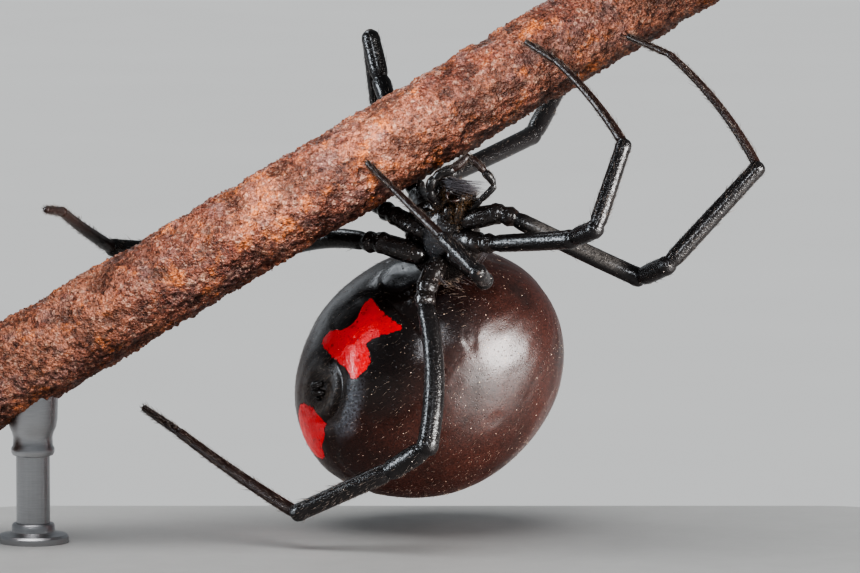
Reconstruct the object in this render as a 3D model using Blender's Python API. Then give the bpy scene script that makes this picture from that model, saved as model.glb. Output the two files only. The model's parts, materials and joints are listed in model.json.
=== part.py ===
"""A female black widow spider hanging under a cut twig, life size, on a plain display stand.

The spider and the twig are laid out in an upright plane, in millimetres: x to the right,
y away from the viewer, z up.  The whole layout leans back a little and stands above a
flat base, whose underside is the floor.
"""
import math

import bmesh
import bpy
from mathutils import Matrix, Vector, noise

MM = 0.001

# Clearance between neighbouring solids
GAP = 0.2

# The layout above the floor
LEAN = math.radians(6)
LAYOUT_HEIGHT = 11.1

# The stand
BASE_WIDTH = 35.0
BASE_DEPTH = 19.0
BASE_THICKNESS = 2.0
BASE_CORNER = 3.0
BASE_EDGE = 0.3
ROD_RADIUS = 0.6
ROD_SIDES = 24
ROD_X = -14.1

# The twig, from its left end to its right end
TWIG_LEFT = Vector((-17.6, 0.0, -4.6))
TWIG_RIGHT = Vector((9.45, 0.0, 11.45))
TWIG_RADIUS_LEFT = 1.66
TWIG_RADIUS_RIGHT = 1.55
TWIG_STATIONS = 40
TWIG_SIDES = 20
BARK_RELIEF = 0.10
BARK_GRAIN = 0.9
BREAK_DEPTH = 0.5
BREAK_GRAIN = 2.3

# The abdomen: half lengths along its own axis, across it and from back to belly
ABDOMEN_CENTRE = Vector((-0.05, 3.7, -3.1))
ABDOMEN_FORWARD = Vector((0.81, -0.20, 0.56))
ABDOMEN_BELLY = Vector((-0.47, -0.79, 0.40))
ABDOMEN_HALF_LENGTH = 5.15
ABDOMEN_HALF_WIDTH = 4.3
ABDOMEN_HALF_HEIGHT = 4.45
ABDOMEN_REAR_TAPER = 0.06

# The front part of the body, measured from the middle of the breast plate
THORAX_CENTRE = Vector((0.5, -0.5, 1.9))
THORAX_FORWARD = Vector((0.36, -0.53, 0.77))
THORAX_BELLY = Vector((-0.50, -0.80, -0.32))
CARAPACE_HALF_LENGTH = 1.9
CARAPACE_HALF_WIDTH = 1.5
CARAPACE_HEIGHT = 1.0
CARAPACE_DEPTH = 0.35
HEAD_WIDTH_SHARE = 0.58
EYE_RADIUS = 0.10
EYE_PLACES = ((1.80, 0.13, 0.28), (1.72, 0.16, 0.52), (1.62, 0.42, 0.26), (1.52, 0.44, 0.44))
STERNUM_HALF_LENGTH = 1.05
STERNUM_HALF_WIDTH = 0.72
STERNUM_HALF_THICKNESS = 0.42
STERNUM_BACK = -0.25
STERNUM_SPREAD = 0.25
LIP = ((1.05, 0.0, -0.45), (0.32, 0.24, 0.16))
JAW_PLATE_CENTRE = (1.35, 0.36, -0.42)
JAW_PLATE_SIZE = (0.52, 0.22, 0.20)
JAW_POINTS = ((1.72, 0.30, 0.05), (1.98, 0.31, -0.35), (2.05, 0.26, -0.70), (1.90, 0.13, -0.95))
JAW_RADII = (0.25, 0.25, 0.18, 0.06)
PEDICEL_RADIUS = 0.26
SPINNERET_BASE_RADIUS = 0.55
SPINNERET_LENGTH = 0.55
SPINNERET_DIRECTION = Vector((-0.858, -0.505, -0.09))
SPINNERET_COUNT = 6
SPINNERET_RADII = (0.16, 0.07)

# Radii along a leg: coxa, femur base and end, patella, tibia base and end, metatarsus, foot
LEG_RADII = {
    1: (0.38, 0.31, 0.34, 0.33, 0.32, 0.29, 0.25, 0.12),
    2: (0.37, 0.31, 0.33, 0.32, 0.30, 0.28, 0.25, 0.12),
    3: (0.34, 0.28, 0.32, 0.31, 0.28, 0.25, 0.25, 0.12),
    4: (0.39, 0.33, 0.39, 0.36, 0.36, 0.32, 0.26, 0.13),
}

# Places of the joints of each leg: coxa root, femur root, knee, patella end, tibia end,
# metatarsus end and foot
LEG_JOINTS = {
    "left_1": ((1.30, -1.45, 2.35), (2.55, -2.10, 2.60), (7.35, -2.80, 0.30), (8.30, -4.15, 0.75),
               (11.45, -4.00, 4.15), (8.40, -2.50, 8.15), (7.00, -1.55, 8.80)),
    "left_2": ((1.05, -1.10, 1.70), (1.85, -1.90, 1.50), (4.95, -4.45, 1.65), (5.75, -5.55, 2.00),
               (6.75, -4.75, 4.95), (4.45, -2.50, 7.90), (3.40, -1.75, 8.60)),
    "left_3": ((0.80, -0.75, 1.15), (1.65, -0.90, 0.50), (1.90, -4.10, 0.20), (1.65, -5.20, 0.50),
               (0.45, -3.85, 1.70), (-1.30, -2.35, 3.45), (-2.20, -1.85, 4.35)),
    "left_4": ((0.30, -0.50, 0.85), (-0.20, -1.00, -0.20), (-0.10, -3.10, -5.65), (-1.35, -2.30, -6.45),
               (-4.70, -1.25, -8.00), (-8.90, 0.80, -5.20), (-10.20, 1.80, -4.35)),
    "right_1": ((0.35, -1.05, 2.95), (0.25, -0.90, 3.75), (3.70, 3.45, 5.45), (4.25, 4.85, 6.45),
                (5.70, 8.60, 9.20), (7.90, 3.40, 9.95), (8.85, 1.85, 10.85)),
    "right_2": ((0.05, -0.70, 2.45), (-0.45, 1.30, 3.30), (-1.75, 3.50, 7.35), (-2.15, 3.70, 9.00),
                (-1.90, 4.85, 6.65), (-3.55, 2.25, 4.35), (-4.75, 1.80, 3.35)),
    "right_3": ((-0.20, -0.40, 1.95), (-1.40, 0.40, 2.60), (-3.15, 3.25, 3.60), (-4.20, 3.55, 4.10),
                (-5.45, 2.35, 2.95), (-8.15, 2.70, 2.45), (-8.20, 1.80, 1.55)),
    "right_4": ((-0.35, -0.20, 1.10), (-1.90, 0.50, 1.62), (-6.00, 4.35, 1.12), (-7.60, 5.05, 1.12),
                (-11.45, 3.55, 1.40), (-13.00, -1.10, 2.65), (-13.45, -2.85, 2.70)),
}

# How far the femur and the metatarsus of each pair bow away from the inside of the bend
FEMUR_BOW = {1: 0.02, 2: 0.02, 3: 0.05, 4: 0.30}
METATARSUS_BOW = {1: 0.22, 2: 0.12, 3: 0.05, 4: 0.06}

# The thigh that arches upwards, and a place below it
ARCHED_LEG = "right_4"
UNDER_ARCH = Vector((-4.2, 2.0, -2.0))

# Places along each palp, from its root to its tip
PALP_POINTS = {
    "left": ((1.45, -1.70, 2.70), (2.25, -2.30, 3.50), (2.05, -2.45, 4.10), (1.65, -2.30, 4.60)),
    "right": ((0.50, -1.55, 3.25), (0.02, -2.05, 3.50), (0.40, -2.35, 4.00), (1.10, -2.25, 4.45)),
}
PALP_RADII = (0.24, 0.24, 0.22, 0.12)

TUBE_RESOLUTION = 3
COLOURS = {
    "spider": ((0.012, 0.008, 0.007), 0.22, 0.0),
    "twig": ((0.17, 0.065, 0.035), 0.85, 0.0),
    "base": ((0.60, 0.60, 0.58), 0.45, 0.0),
    "rod": ((0.55, 0.55, 0.55), 0.30, 1.0),
}


def clear_scene():
    """Remove every object that the file opens with."""
    for item in list(bpy.data.objects):
        bpy.data.objects.remove(item)


def make_material(name):
    """A plain material from the colour, roughness and metallic value of its name."""
    colour, roughness, metallic = COLOURS[name]
    material = bpy.data.materials.new(name)
    material.use_nodes = True
    shader = material.node_tree.nodes["Principled BSDF"]
    shader.inputs["Base Color"].default_value = (*colour, 1.0)
    shader.inputs["Roughness"].default_value = roughness
    shader.inputs["Metallic"].default_value = metallic
    return material


def add_object(name, bm, collection):
    """Turn a bmesh into an object of a collection."""
    bmesh.ops.recalc_face_normals(bm, faces=bm.faces)
    mesh = bpy.data.meshes.new(name)
    bm.to_mesh(mesh)
    bm.free()
    item = bpy.data.objects.new(name, mesh)
    collection.objects.link(item)
    return item


def body_frame(forward, belly):
    """Columns forward, to the animal's left and towards its back, as a 3 by 3 matrix."""
    forward = forward.normalized()
    back = -(belly - forward * belly.dot(forward)).normalized()
    left = back.cross(forward)
    return Matrix((forward, left, back)).transposed()


THORAX_FRAME = body_frame(THORAX_FORWARD, THORAX_BELLY)
ABDOMEN_FRAME = body_frame(ABDOMEN_FORWARD, ABDOMEN_BELLY)


def thorax_point(forward, left, back):
    """A place given in the front body's own directions."""
    return THORAX_CENTRE + THORAX_FRAME @ Vector((forward, left, back))


def mirrored(place, side):
    """A place on the animal's left for side 1, and its mirror image for side -1."""
    forward, left, back = place
    return forward, left * side, back


def tube(name, points, radii, collection, grow=0.0):
    """A closed tapered tube with rounded ends, through points with a radius at each."""
    points = [Vector(p) for p in points]
    radii = [r + grow for r in radii]
    start = (points[0] - points[1]).normalized()
    end = (points[-1] - points[-2]).normalized()
    stations = []
    for angle in (80, 55, 28):
        turn = math.radians(angle)
        stations.append((points[0] + start * radii[0] * math.sin(turn), radii[0] * math.cos(turn)))
    stations += list(zip(points, radii))
    for angle in (28, 55, 80):
        turn = math.radians(angle)
        stations.append((points[-1] + end * radii[-1] * math.sin(turn), radii[-1] * math.cos(turn)))

    curve = bpy.data.curves.new(name, "CURVE")
    curve.dimensions = "3D"
    curve.bevel_depth = MM
    curve.bevel_resolution = TUBE_RESOLUTION
    curve.use_fill_caps = True
    spline = curve.splines.new("POLY")
    spline.points.add(len(stations) - 1)
    for point, (place, radius) in zip(spline.points, stations):
        point.co = (*(place * MM), 1.0)
        point.radius = radius
    guide = bpy.data.objects.new(name + "_path", curve)
    collection.objects.link(guide)
    bpy.context.view_layer.update()
    evaluated = guide.evaluated_get(bpy.context.evaluated_depsgraph_get())
    mesh = bpy.data.meshes.new_from_object(evaluated)
    bpy.data.objects.remove(guide)
    bm = bmesh.new()
    bm.from_mesh(mesh)
    bmesh.ops.remove_doubles(bm, verts=bm.verts, dist=0.002 * MM)
    return add_object(name, bm, collection)


def ball(name, collection, shape, segments, rings):
    """A closed round form: shape turns each point of a unit sphere into a place."""
    bm = bmesh.new()
    bmesh.ops.create_uvsphere(bm, u_segments=segments, v_segments=rings, radius=1.0)
    for vertex in bm.verts:
        vertex.co = shape(vertex.co.copy()) * MM
    return add_object(name, bm, collection)


def apply_boolean(item, others, operation):
    """Join others to an item, or cut them out of it, and remove them."""
    tools = bpy.data.collections.new("tools")
    for other in others:
        for owner in list(other.users_collection):
            owner.objects.unlink(other)
        tools.objects.link(other)
    modifier = item.modifiers.new("boolean", "BOOLEAN")
    modifier.operation = operation
    modifier.operand_type = "COLLECTION"
    modifier.collection = tools
    modifier.solver = "EXACT"
    bpy.context.view_layer.update()
    evaluated = item.evaluated_get(bpy.context.evaluated_depsgraph_get())
    mesh = bpy.data.meshes.new_from_object(evaluated)
    item.modifiers.clear()
    item.data = mesh
    for other in list(tools.objects):
        bpy.data.objects.remove(other)
    bpy.data.collections.remove(tools)
    keep_largest(item)


def keep_largest(item):
    """Keep only the largest closed surface of an item."""
    bm = bmesh.new()
    bm.from_mesh(item.data)
    bmesh.ops.remove_doubles(bm, verts=bm.verts, dist=0.002 * MM)
    waiting = set(bm.verts)
    pieces = []
    while waiting:
        front = [waiting.pop()]
        piece = set(front)
        while front:
            for edge in front.pop().link_edges:
                for vertex in edge.verts:
                    if vertex in waiting:
                        waiting.remove(vertex)
                        piece.add(vertex)
                        front.append(vertex)
        pieces.append(piece)
    pieces.sort(key=spread, reverse=True)
    for piece in pieces[1:]:
        bmesh.ops.delete(bm, geom=list(piece), context="VERTS")
    bm.to_mesh(item.data)
    bm.free()


def spread(vertices):
    """The diagonal of the box round some vertices."""
    places = [v.co for v in vertices]
    low = Vector([min(p[i] for p in places) for i in range(3)])
    high = Vector([max(p[i] for p in places) for i in range(3)])
    return (high - low).length


def abdomen_shape(unit, grow=0.0):
    """The globe of the abdomen, a little narrower at the rear."""
    rear = max(0.0, -unit.x)
    taper = 1.0 - ABDOMEN_REAR_TAPER * rear * rear
    local = Vector((
        (ABDOMEN_HALF_LENGTH + grow) * unit.x,
        (ABDOMEN_HALF_WIDTH + grow) * unit.y * taper,
        (ABDOMEN_HALF_HEIGHT + grow) * unit.z * taper,
    ))
    return ABDOMEN_CENTRE + ABDOMEN_FRAME @ local


def turned_sphere(unit):
    """Put the poles of a unit sphere on the x axis."""
    return Vector((unit.z, unit.x, unit.y))


def carapace_shape(unit):
    """The back shield: broad behind, with a narrower raised head in front."""
    f, s, b = turned_sphere(unit)
    ahead = min(1.0, max(0.0, (f + 0.05) / 0.8))
    ease = ahead * ahead * (3.0 - 2.0 * ahead)
    width = CARAPACE_HALF_WIDTH * (1.0 - (1.0 - HEAD_WIDTH_SHARE) * ease)
    fullness = 1.0 + 0.35 * ease * (1.0 - abs(s))
    height = CARAPACE_HEIGHT if b > 0 else CARAPACE_DEPTH
    return thorax_point(CARAPACE_HALF_LENGTH * f, width * s * fullness, height * b)


def sternum_shape(unit):
    """The heart-shaped breast plate, broad in front and pointed behind."""
    f, s, b = turned_sphere(unit)
    width = STERNUM_HALF_WIDTH * (1.0 + STERNUM_SPREAD * f)
    return thorax_point(STERNUM_HALF_LENGTH * f, width * s, STERNUM_BACK + STERNUM_HALF_THICKNESS * b)


def lobe_shape(centre, size):
    """A small egg-shaped lobe on the front body."""
    def shape(unit):
        return thorax_point(*(Vector(centre) + Vector(size) * turned_sphere(unit)))
    return shape


def make_front_body(collection):
    """Carapace, breast plate, lip, jaws' plates and eyes as one closed body."""
    body = ball("cephalothorax", collection, carapace_shape, 32, 20)
    parts = [ball("sternum", collection, sternum_shape, 20, 12)]
    parts.append(ball("lip", collection, lobe_shape(*LIP), 12, 8))
    for side in (-1, 1):
        jaw = lobe_shape(mirrored(JAW_PLATE_CENTRE, side), JAW_PLATE_SIZE)
        parts.append(ball("jaw_plate", collection, jaw, 12, 8))
        for place in EYE_PLACES:
            eye = lobe_shape(mirrored(place, side), (EYE_RADIUS,) * 3)
            parts.append(ball("eye", collection, eye, 8, 6))
    apply_boolean(body, parts, "UNION")
    return body


def bowed(start, end, inside, bow):
    """Two places between start and end, pushed away from a joint on the inside of the bend."""
    along = (end - start).normalized()
    outward = start.lerp(end, 0.5) - inside
    outward = (outward - along * outward.dot(along)).normalized()
    return [start.lerp(end, share) + outward * bow for share in (0.33, 0.67)]


def make_leg(name, collection):
    """The articles of one leg, each cut clear of the next one out."""
    pair = int(name[-1])
    coxa, femur_a, femur_b, patella, tibia_a, tibia_b, metatarsus, foot = LEG_RADII[pair]
    root, hip, knee, shin, wrist, heel, tip = [Vector(p) for p in LEG_JOINTS[name]]
    inside = UNDER_ARCH if name == ARCHED_LEG else wrist
    thigh = bowed(hip, knee, inside, FEMUR_BOW[pair])
    shank = bowed(wrist, heel, shin, METATARSUS_BOW[pair])
    articles = [
        ("coxa", (root, root.lerp(hip, 0.65), hip), (coxa, coxa, femur_a)),
        ("femur", (hip, *thigh, knee), (femur_a, femur_b, femur_b, femur_b)),
        ("patella", (knee, shin), (patella, patella)),
        ("tibia", (shin, wrist), (tibia_a, tibia_b)),
        ("tarsus", (wrist, *shank, heel, tip), (metatarsus,) * 3 + (metatarsus - 0.03, foot)),
    ]
    pieces = []
    for index, (part, points, radii) in enumerate(articles):
        piece = tube(f"leg_{name}_{part}", points, radii, collection)
        if index + 1 < len(articles):
            _, next_points, next_radii = articles[index + 1]
            cutter = tube("cutter", next_points, next_radii, collection, grow=GAP)
            apply_boolean(piece, [cutter], "DIFFERENCE")
        pieces.append(piece)
    return pieces, articles


def make_chelicera(side, collection, grow=0.0):
    """A short stout jaw that ends in its fang."""
    points = [thorax_point(*mirrored(place, side)) for place in JAW_POINTS]
    label = "left" if side > 0 else "right"
    return tube(f"chelicera_{label}", points, JAW_RADII, collection, grow)


def make_spinnerets(collection, grow=0.0):
    """Six short cones on a low mound, at the rear end of the belly."""
    outward = SPINNERET_DIRECTION.normalized()
    local = ABDOMEN_FRAME.transposed() @ outward
    sizes = (ABDOMEN_HALF_LENGTH, ABDOMEN_HALF_WIDTH, ABDOMEN_HALF_HEIGHT)
    reach = 1.0 / math.sqrt(sum((c / s) ** 2 for c, s in zip(local, sizes)))
    foot = ABDOMEN_CENTRE + outward * (reach - 0.35)
    top = ABDOMEN_CENTRE + outward * (reach + 0.02)
    radius = SPINNERET_BASE_RADIUS
    mound = tube("spinnerets", (foot, top), (radius, radius * 0.9), collection, grow)
    if grow > 0.0:
        return mound
    across = outward.orthogonal().normalized()
    cones = []
    for index in range(SPINNERET_COUNT):
        turn = Matrix.Rotation(2.0 * math.pi * (index + 0.5) / SPINNERET_COUNT, 3, outward)
        aside = turn @ across * radius
        start = top + aside * 0.51
        end = top + aside * 0.65 + outward * SPINNERET_LENGTH
        cones.append(tube("cone", (start, end), SPINNERET_RADII, collection))
    apply_boolean(mound, cones, "UNION")
    return mound


def twig_frame():
    """Unit vectors along the twig and across it."""
    along = (TWIG_RIGHT - TWIG_LEFT).normalized()
    depth = Vector((0.0, 1.0, 0.0))
    return along, depth, along.cross(depth)


def make_twig(name, collection, grow=0.0):
    """A tapered stick with a lumpy bark and a broken right end."""
    along, depth, up = twig_frame()
    length = (TWIG_RIGHT - TWIG_LEFT).length
    bm = bmesh.new()
    rings = []
    for i in range(TWIG_STATIONS + 1):
        share = i / TWIG_STATIONS
        radius = TWIG_RADIUS_LEFT + (TWIG_RADIUS_RIGHT - TWIG_RADIUS_LEFT) * share + grow
        ring = []
        for j in range(TWIG_SIDES):
            turn = 2.0 * math.pi * j / TWIG_SIDES
            side = depth * math.cos(turn) + up * math.sin(turn)
            place = TWIG_LEFT + along * (length * share)
            relief = noise.noise((place + side * radius) * BARK_GRAIN) * BARK_RELIEF
            if grow > 0.0:
                relief = BARK_RELIEF
            break_line = 0.0
            if i == TWIG_STATIONS:
                break_line = noise.noise(side * BREAK_GRAIN) * BREAK_DEPTH
            ring.append(bm.verts.new((place + side * (radius + relief) + along * break_line) * MM))
        rings.append(ring)
    for near, far in zip(rings, rings[1:]):
        for j in range(TWIG_SIDES):
            k = (j + 1) % TWIG_SIDES
            bm.faces.new((near[j], near[k], far[k], far[j]))
    bm.faces.new(rings[0])
    bm.faces.new(rings[-1])
    bmesh.ops.triangulate(bm, faces=[f for f in bm.faces if len(f.verts) > 4])
    return add_object(name, bm, collection)


def make_stand(collection, layout):
    """The flat base, and the rod that carries the twig near its left end."""
    bpy.ops.mesh.primitive_cube_add(size=1.0, location=(0.0, 0.0, BASE_THICKNESS * MM / 2))
    base = bpy.context.object
    base.name = "stand_base"
    base.scale = (BASE_WIDTH * MM, BASE_DEPTH * MM, BASE_THICKNESS * MM)
    bpy.ops.object.transform_apply(location=False, rotation=False, scale=True)
    bm = bmesh.new()
    bm.from_mesh(base.data)
    uprights = [e for e in bm.edges if abs(e.verts[0].co.z - e.verts[1].co.z) > MM]
    bmesh.ops.bevel(bm, geom=uprights, offset=BASE_CORNER * MM, segments=6, affect="EDGES", profile=0.5)
    rim = [e for e in bm.edges if min(v.co.z for v in e.verts) > 0.4 * BASE_THICKNESS * MM]
    bmesh.ops.bevel(bm, geom=rim, offset=BASE_EDGE * MM, segments=2, affect="EDGES", profile=0.5)
    bm.to_mesh(base.data)
    bm.free()

    along, _, _ = twig_frame()
    share = (ROD_X - TWIG_LEFT.x) / along.x
    seat = layout @ ((TWIG_LEFT + along * share) * MM)
    bottom = (BASE_THICKNESS + GAP) * MM
    bpy.ops.mesh.primitive_cylinder_add(
        vertices=ROD_SIDES,
        radius=ROD_RADIUS * MM,
        depth=seat.z - bottom,
        location=(seat.x, seat.y, (seat.z + bottom) / 2),
    )
    rod = bpy.context.object
    rod.name = "stand_rod"
    bpy.context.view_layer.update()
    cutter = make_twig("cutter", collection, grow=GAP)
    cutter.matrix_world = layout
    apply_boolean(rod, [cutter], "DIFFERENCE")
    for item in (base, rod):
        for owner in list(item.users_collection):
            owner.objects.unlink(item)
        collection.objects.link(item)
        item.data.shade_smooth()
        item.data.set_sharp_from_angle(angle=math.radians(35))
    return base, rod


def separate_coxae(collection, shapes):
    """Cut each coxa clear of the one before it on the same side, and the last two apart."""
    for name in shapes:
        side, pair = name.split("_")
        neighbours = []
        if pair != "1":
            neighbours.append(f"{side}_{int(pair) - 1}")
        if name == "right_4":
            neighbours.append("left_4")
        for neighbour in neighbours:
            cutter = tube("cutter", *shapes[neighbour], collection, grow=GAP)
            apply_boolean(bpy.data.objects[f"leg_{name}_coxa"], [cutter], "DIFFERENCE")


def build():
    """Make the spider, the twig and the stand."""
    clear_scene()
    collection = bpy.data.collections.new("black_widow_spider")
    bpy.context.scene.collection.children.link(collection)
    materials = {name: make_material(name) for name in COLOURS}
    layout = Matrix.Translation((0.0, 0.0, LAYOUT_HEIGHT * MM)) @ Matrix.Rotation(-LEAN, 4, "X")

    spider = []
    front = make_front_body(collection)
    abdomen = ball("abdomen", collection, lambda unit: abdomen_shape(turned_sphere(unit)), 40, 26)

    coxa_shapes = {}
    for name in LEG_JOINTS:
        pieces, articles = make_leg(name, collection)
        coxa_shapes[name] = articles[0][1:]
        spider += pieces
    separate_coxae(collection, coxa_shapes)
    front_tools = [tube("cutter", *shape, collection, grow=GAP) for shape in coxa_shapes.values()]

    for label, points in PALP_POINTS.items():
        side = 1 if label == "left" else -1
        palp_cutter = tube("cutter", points, PALP_RADII, collection, grow=GAP)
        chelicera = make_chelicera(side, collection)
        apply_boolean(chelicera, [palp_cutter], "DIFFERENCE")
        palp = tube(f"palp_{label}", points, PALP_RADII, collection)
        coxa_cutter = tube("cutter", *coxa_shapes[f"{label}_1"], collection, grow=GAP)
        apply_boolean(palp, [coxa_cutter], "DIFFERENCE")
        spider += [chelicera, palp]
        front_tools.append(make_chelicera(side, collection, grow=GAP))
        front_tools.append(tube("cutter", points, PALP_RADII, collection, grow=GAP))

    rear = thorax_point(-CARAPACE_HALF_LENGTH + 0.15, 0.0, 0.1)
    waist = (rear, rear.lerp(ABDOMEN_CENTRE, 0.25))
    waist_radii = (PEDICEL_RADIUS, PEDICEL_RADIUS)
    spider.append(tube("pedicel", waist, waist_radii, collection))
    front_tools.append(tube("cutter", waist, waist_radii, collection, grow=GAP))
    abdomen_tools = [tube("cutter", waist, waist_radii, collection, grow=GAP)]
    spider.append(make_spinnerets(collection))
    abdomen_tools.append(make_spinnerets(collection, grow=GAP))

    apply_boolean(front, front_tools, "DIFFERENCE")
    apply_boolean(abdomen, abdomen_tools, "DIFFERENCE")
    spider += [front, abdomen]

    twig = make_twig("perch_twig", collection)
    base, rod = make_stand(collection, layout)

    for item in spider + [twig]:
        item.matrix_world = layout
        item.data.shade_smooth()
        item.data.set_sharp_from_angle(angle=math.radians(40))
        item.data.materials.clear()
        item.data.materials.append(materials["twig" if item is twig else "spider"])
    base.data.materials.append(materials["base"])
    rod.data.materials.append(materials["rod"])


build()
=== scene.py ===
import json
import math

import bmesh
import bpy
import numpy as np
from mathutils import Matrix, Vector, noise

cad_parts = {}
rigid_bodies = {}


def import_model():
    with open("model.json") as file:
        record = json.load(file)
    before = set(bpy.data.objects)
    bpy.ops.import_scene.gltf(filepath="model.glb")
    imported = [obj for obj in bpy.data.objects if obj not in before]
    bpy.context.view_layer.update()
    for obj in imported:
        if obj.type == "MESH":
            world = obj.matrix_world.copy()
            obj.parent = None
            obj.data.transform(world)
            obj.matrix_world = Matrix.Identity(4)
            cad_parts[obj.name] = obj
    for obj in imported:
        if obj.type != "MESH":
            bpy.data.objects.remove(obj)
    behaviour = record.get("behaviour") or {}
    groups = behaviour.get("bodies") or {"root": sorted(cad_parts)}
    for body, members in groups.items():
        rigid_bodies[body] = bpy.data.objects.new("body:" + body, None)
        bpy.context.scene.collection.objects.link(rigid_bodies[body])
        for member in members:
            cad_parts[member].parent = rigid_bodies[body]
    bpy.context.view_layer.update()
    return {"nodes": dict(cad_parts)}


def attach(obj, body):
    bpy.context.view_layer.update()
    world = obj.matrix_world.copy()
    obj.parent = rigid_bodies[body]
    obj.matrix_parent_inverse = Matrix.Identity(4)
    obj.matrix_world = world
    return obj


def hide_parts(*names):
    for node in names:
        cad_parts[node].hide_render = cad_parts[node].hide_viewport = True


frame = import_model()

MM = 0.001
FULL_TURN = 2.0 * math.pi
LEAN = math.radians(6)
LAYOUT_HEIGHT = 11.1
LEAN_MATRIX = np.array(Matrix.Rotation(-LEAN, 3, "X"))
SEED = 7

# The camera: its distance, and how many millimetres the picture is wide at the twig
CAMERA_DISTANCE = 250.0
PICTURE_WIDTH = 860 / 28.2
SENSOR_WIDTH = 36.0

# The twig
TWIG_LEFT = np.array((-17.6, 0.0, -4.6))
TWIG_RIGHT = np.array((9.45, 0.0, 11.45))
TWIG_LENGTH = np.linalg.norm(TWIG_RIGHT - TWIG_LEFT)
TWIG_RADII = (1.66, 1.55)
TWIG_STEP = 0.07
TWIG_SIDES = 150
BARK_RELIEF = 0.10
BARK_GRAIN = 0.9
GRAIN_COUNT = 5600
# Small knot holes in the bark: place, radius and depth
KNOTS = (((-7.54, -1.6, 1.99), 0.11, 0.16), ((-2.40, -1.5, 4.03), 0.16, 0.12), ((3.6, 1.2, 9.0), 0.15, 0.14))

# The abdomen: half lengths along its own axis, across it and from back to belly
ABDOMEN_CENTRE = np.array((-0.05, 3.7, -3.1))
ABDOMEN_FORWARD = Vector((0.81, -0.20, 0.56))
ABDOMEN_BELLY = Vector((-0.47, -0.79, 0.40))
ABDOMEN_HALF = np.array((5.15, 4.3, 4.45))
ABDOMEN_REAR_TAPER = 0.06
ABDOMEN_CUTS = 104
ABDOMEN_HAIR_COUNT = 2400
SPINNERET_DIRECTION = np.array((-0.858, -0.505, -0.12))
# The side of the spinnerets on which the skin folds up
FOLD_SIDE = np.array((0.95, -0.10, -0.30))
# In the abdomen's own directions: the middle of the pale reflection painted on the hourglass, and of the
# hairs at the front of the belly
FROST_SPOT = np.array((-0.25, 0.20, -0.95))
FRONT_HAIRS = np.array((0.61, -0.11, -0.79))
# Dimples where muscles are fixed: two on the belly's midline, and the left one of each pair
MIDLINE_DIMPLES = ((-0.157, 0.020, -0.987), (0.077, -0.021, -0.997))
PAIRED_DIMPLES = ((0.25, 0.62, -0.74), (0.45, 0.25, 0.86), (0.05, 0.28, 0.96), (-0.32, 0.24, 0.92))

# The red hourglass: places of its outline, in millimetres forward and to the animal's left
HOURGLASS = (
    (0.40, -1.02), (0.66, 0.0), (0.95, 0.84), (0.18, 0.65), (-0.42, 0.57), (-0.53, 1.02),
    (-0.87, 1.32), (-1.50, 1.32), (-1.62, 0.71), (-1.90, -0.10), (-2.03, -0.90), (-1.52, -1.00),
    (-0.96, -0.55), (-0.39, -0.56), (-0.06, -0.87),
)
# The second red mark, below the spinnerets: millimetres to the animal's left and towards its back
SECOND_MARK = (
    (-0.20, -2.60), (0.20, -2.85), (0.64, -2.96), (1.10, -2.85), (1.45, -2.60), (1.52, -2.30),
    (1.44, -1.90), (1.50, -1.40), (1.10, -1.05), (0.50, -0.95), (0.0, -1.25), (-0.25, -1.75),
    (-0.30, -2.20),
)

# The front part of the body, measured from the middle of the breast plate: forward, to the
# animal's left and towards its back. Jaws and fangs are those of the left side.
THORAX_CENTRE = np.array((0.5, -0.5, 1.9))
THORAX_FORWARD = Vector((0.36, -0.53, 0.77))
THORAX_BELLY = Vector((-0.50, -0.80, -0.32))
CARAPACE_HALF_LENGTH = 1.9
CARAPACE_HALF_WIDTH = 1.5
CARAPACE_HEIGHT = 1.0
CARAPACE_DEPTH = 0.35
HEAD_WIDTH_SHARE = 0.58
LIP_CENTRE, LIP_SIZE = (1.12, 0.0, -0.50), (0.30, 0.25, 0.17)
JAW = ((1.66, 0.29, 0.10), (1.86, 0.30, -0.15), (1.98, 0.29, -0.45), (1.99, 0.24, -0.72))
JAW_RADII = (0.22, 0.25, 0.22, 0.15)
FANG = ((1.99, 0.24, -0.76), (1.98, 0.20, -0.92), (1.93, 0.12, -1.00), (1.88, 0.04, -1.00))
FANG_RADII = (0.075, 0.058, 0.038, 0.010)
EYE_RADIUS = 0.105
EYE_PLACES = ((1.80, 0.13, 0.28), (1.72, 0.16, 0.52), (1.62, 0.42, 0.26), (1.52, 0.44, 0.44))
PEDICEL_RADIUS = 0.24

# Radii of each pair's legs: coxa, trochanter, femur base and end, patella, tibia base and end,
# metatarsus base and end, tip of the tarsus
LEG_RADII = {
    1: (0.37, 0.31, 0.30, 0.33, 0.32, 0.31, 0.28, 0.17, 0.125, 0.100),
    2: (0.37, 0.31, 0.30, 0.33, 0.31, 0.30, 0.27, 0.18, 0.125, 0.100),
    3: (0.34, 0.30, 0.28, 0.30, 0.28, 0.26, 0.24, 0.17, 0.125, 0.100),
    4: (0.39, 0.34, 0.33, 0.38, 0.35, 0.35, 0.31, 0.23, 0.170, 0.120),
}

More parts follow.
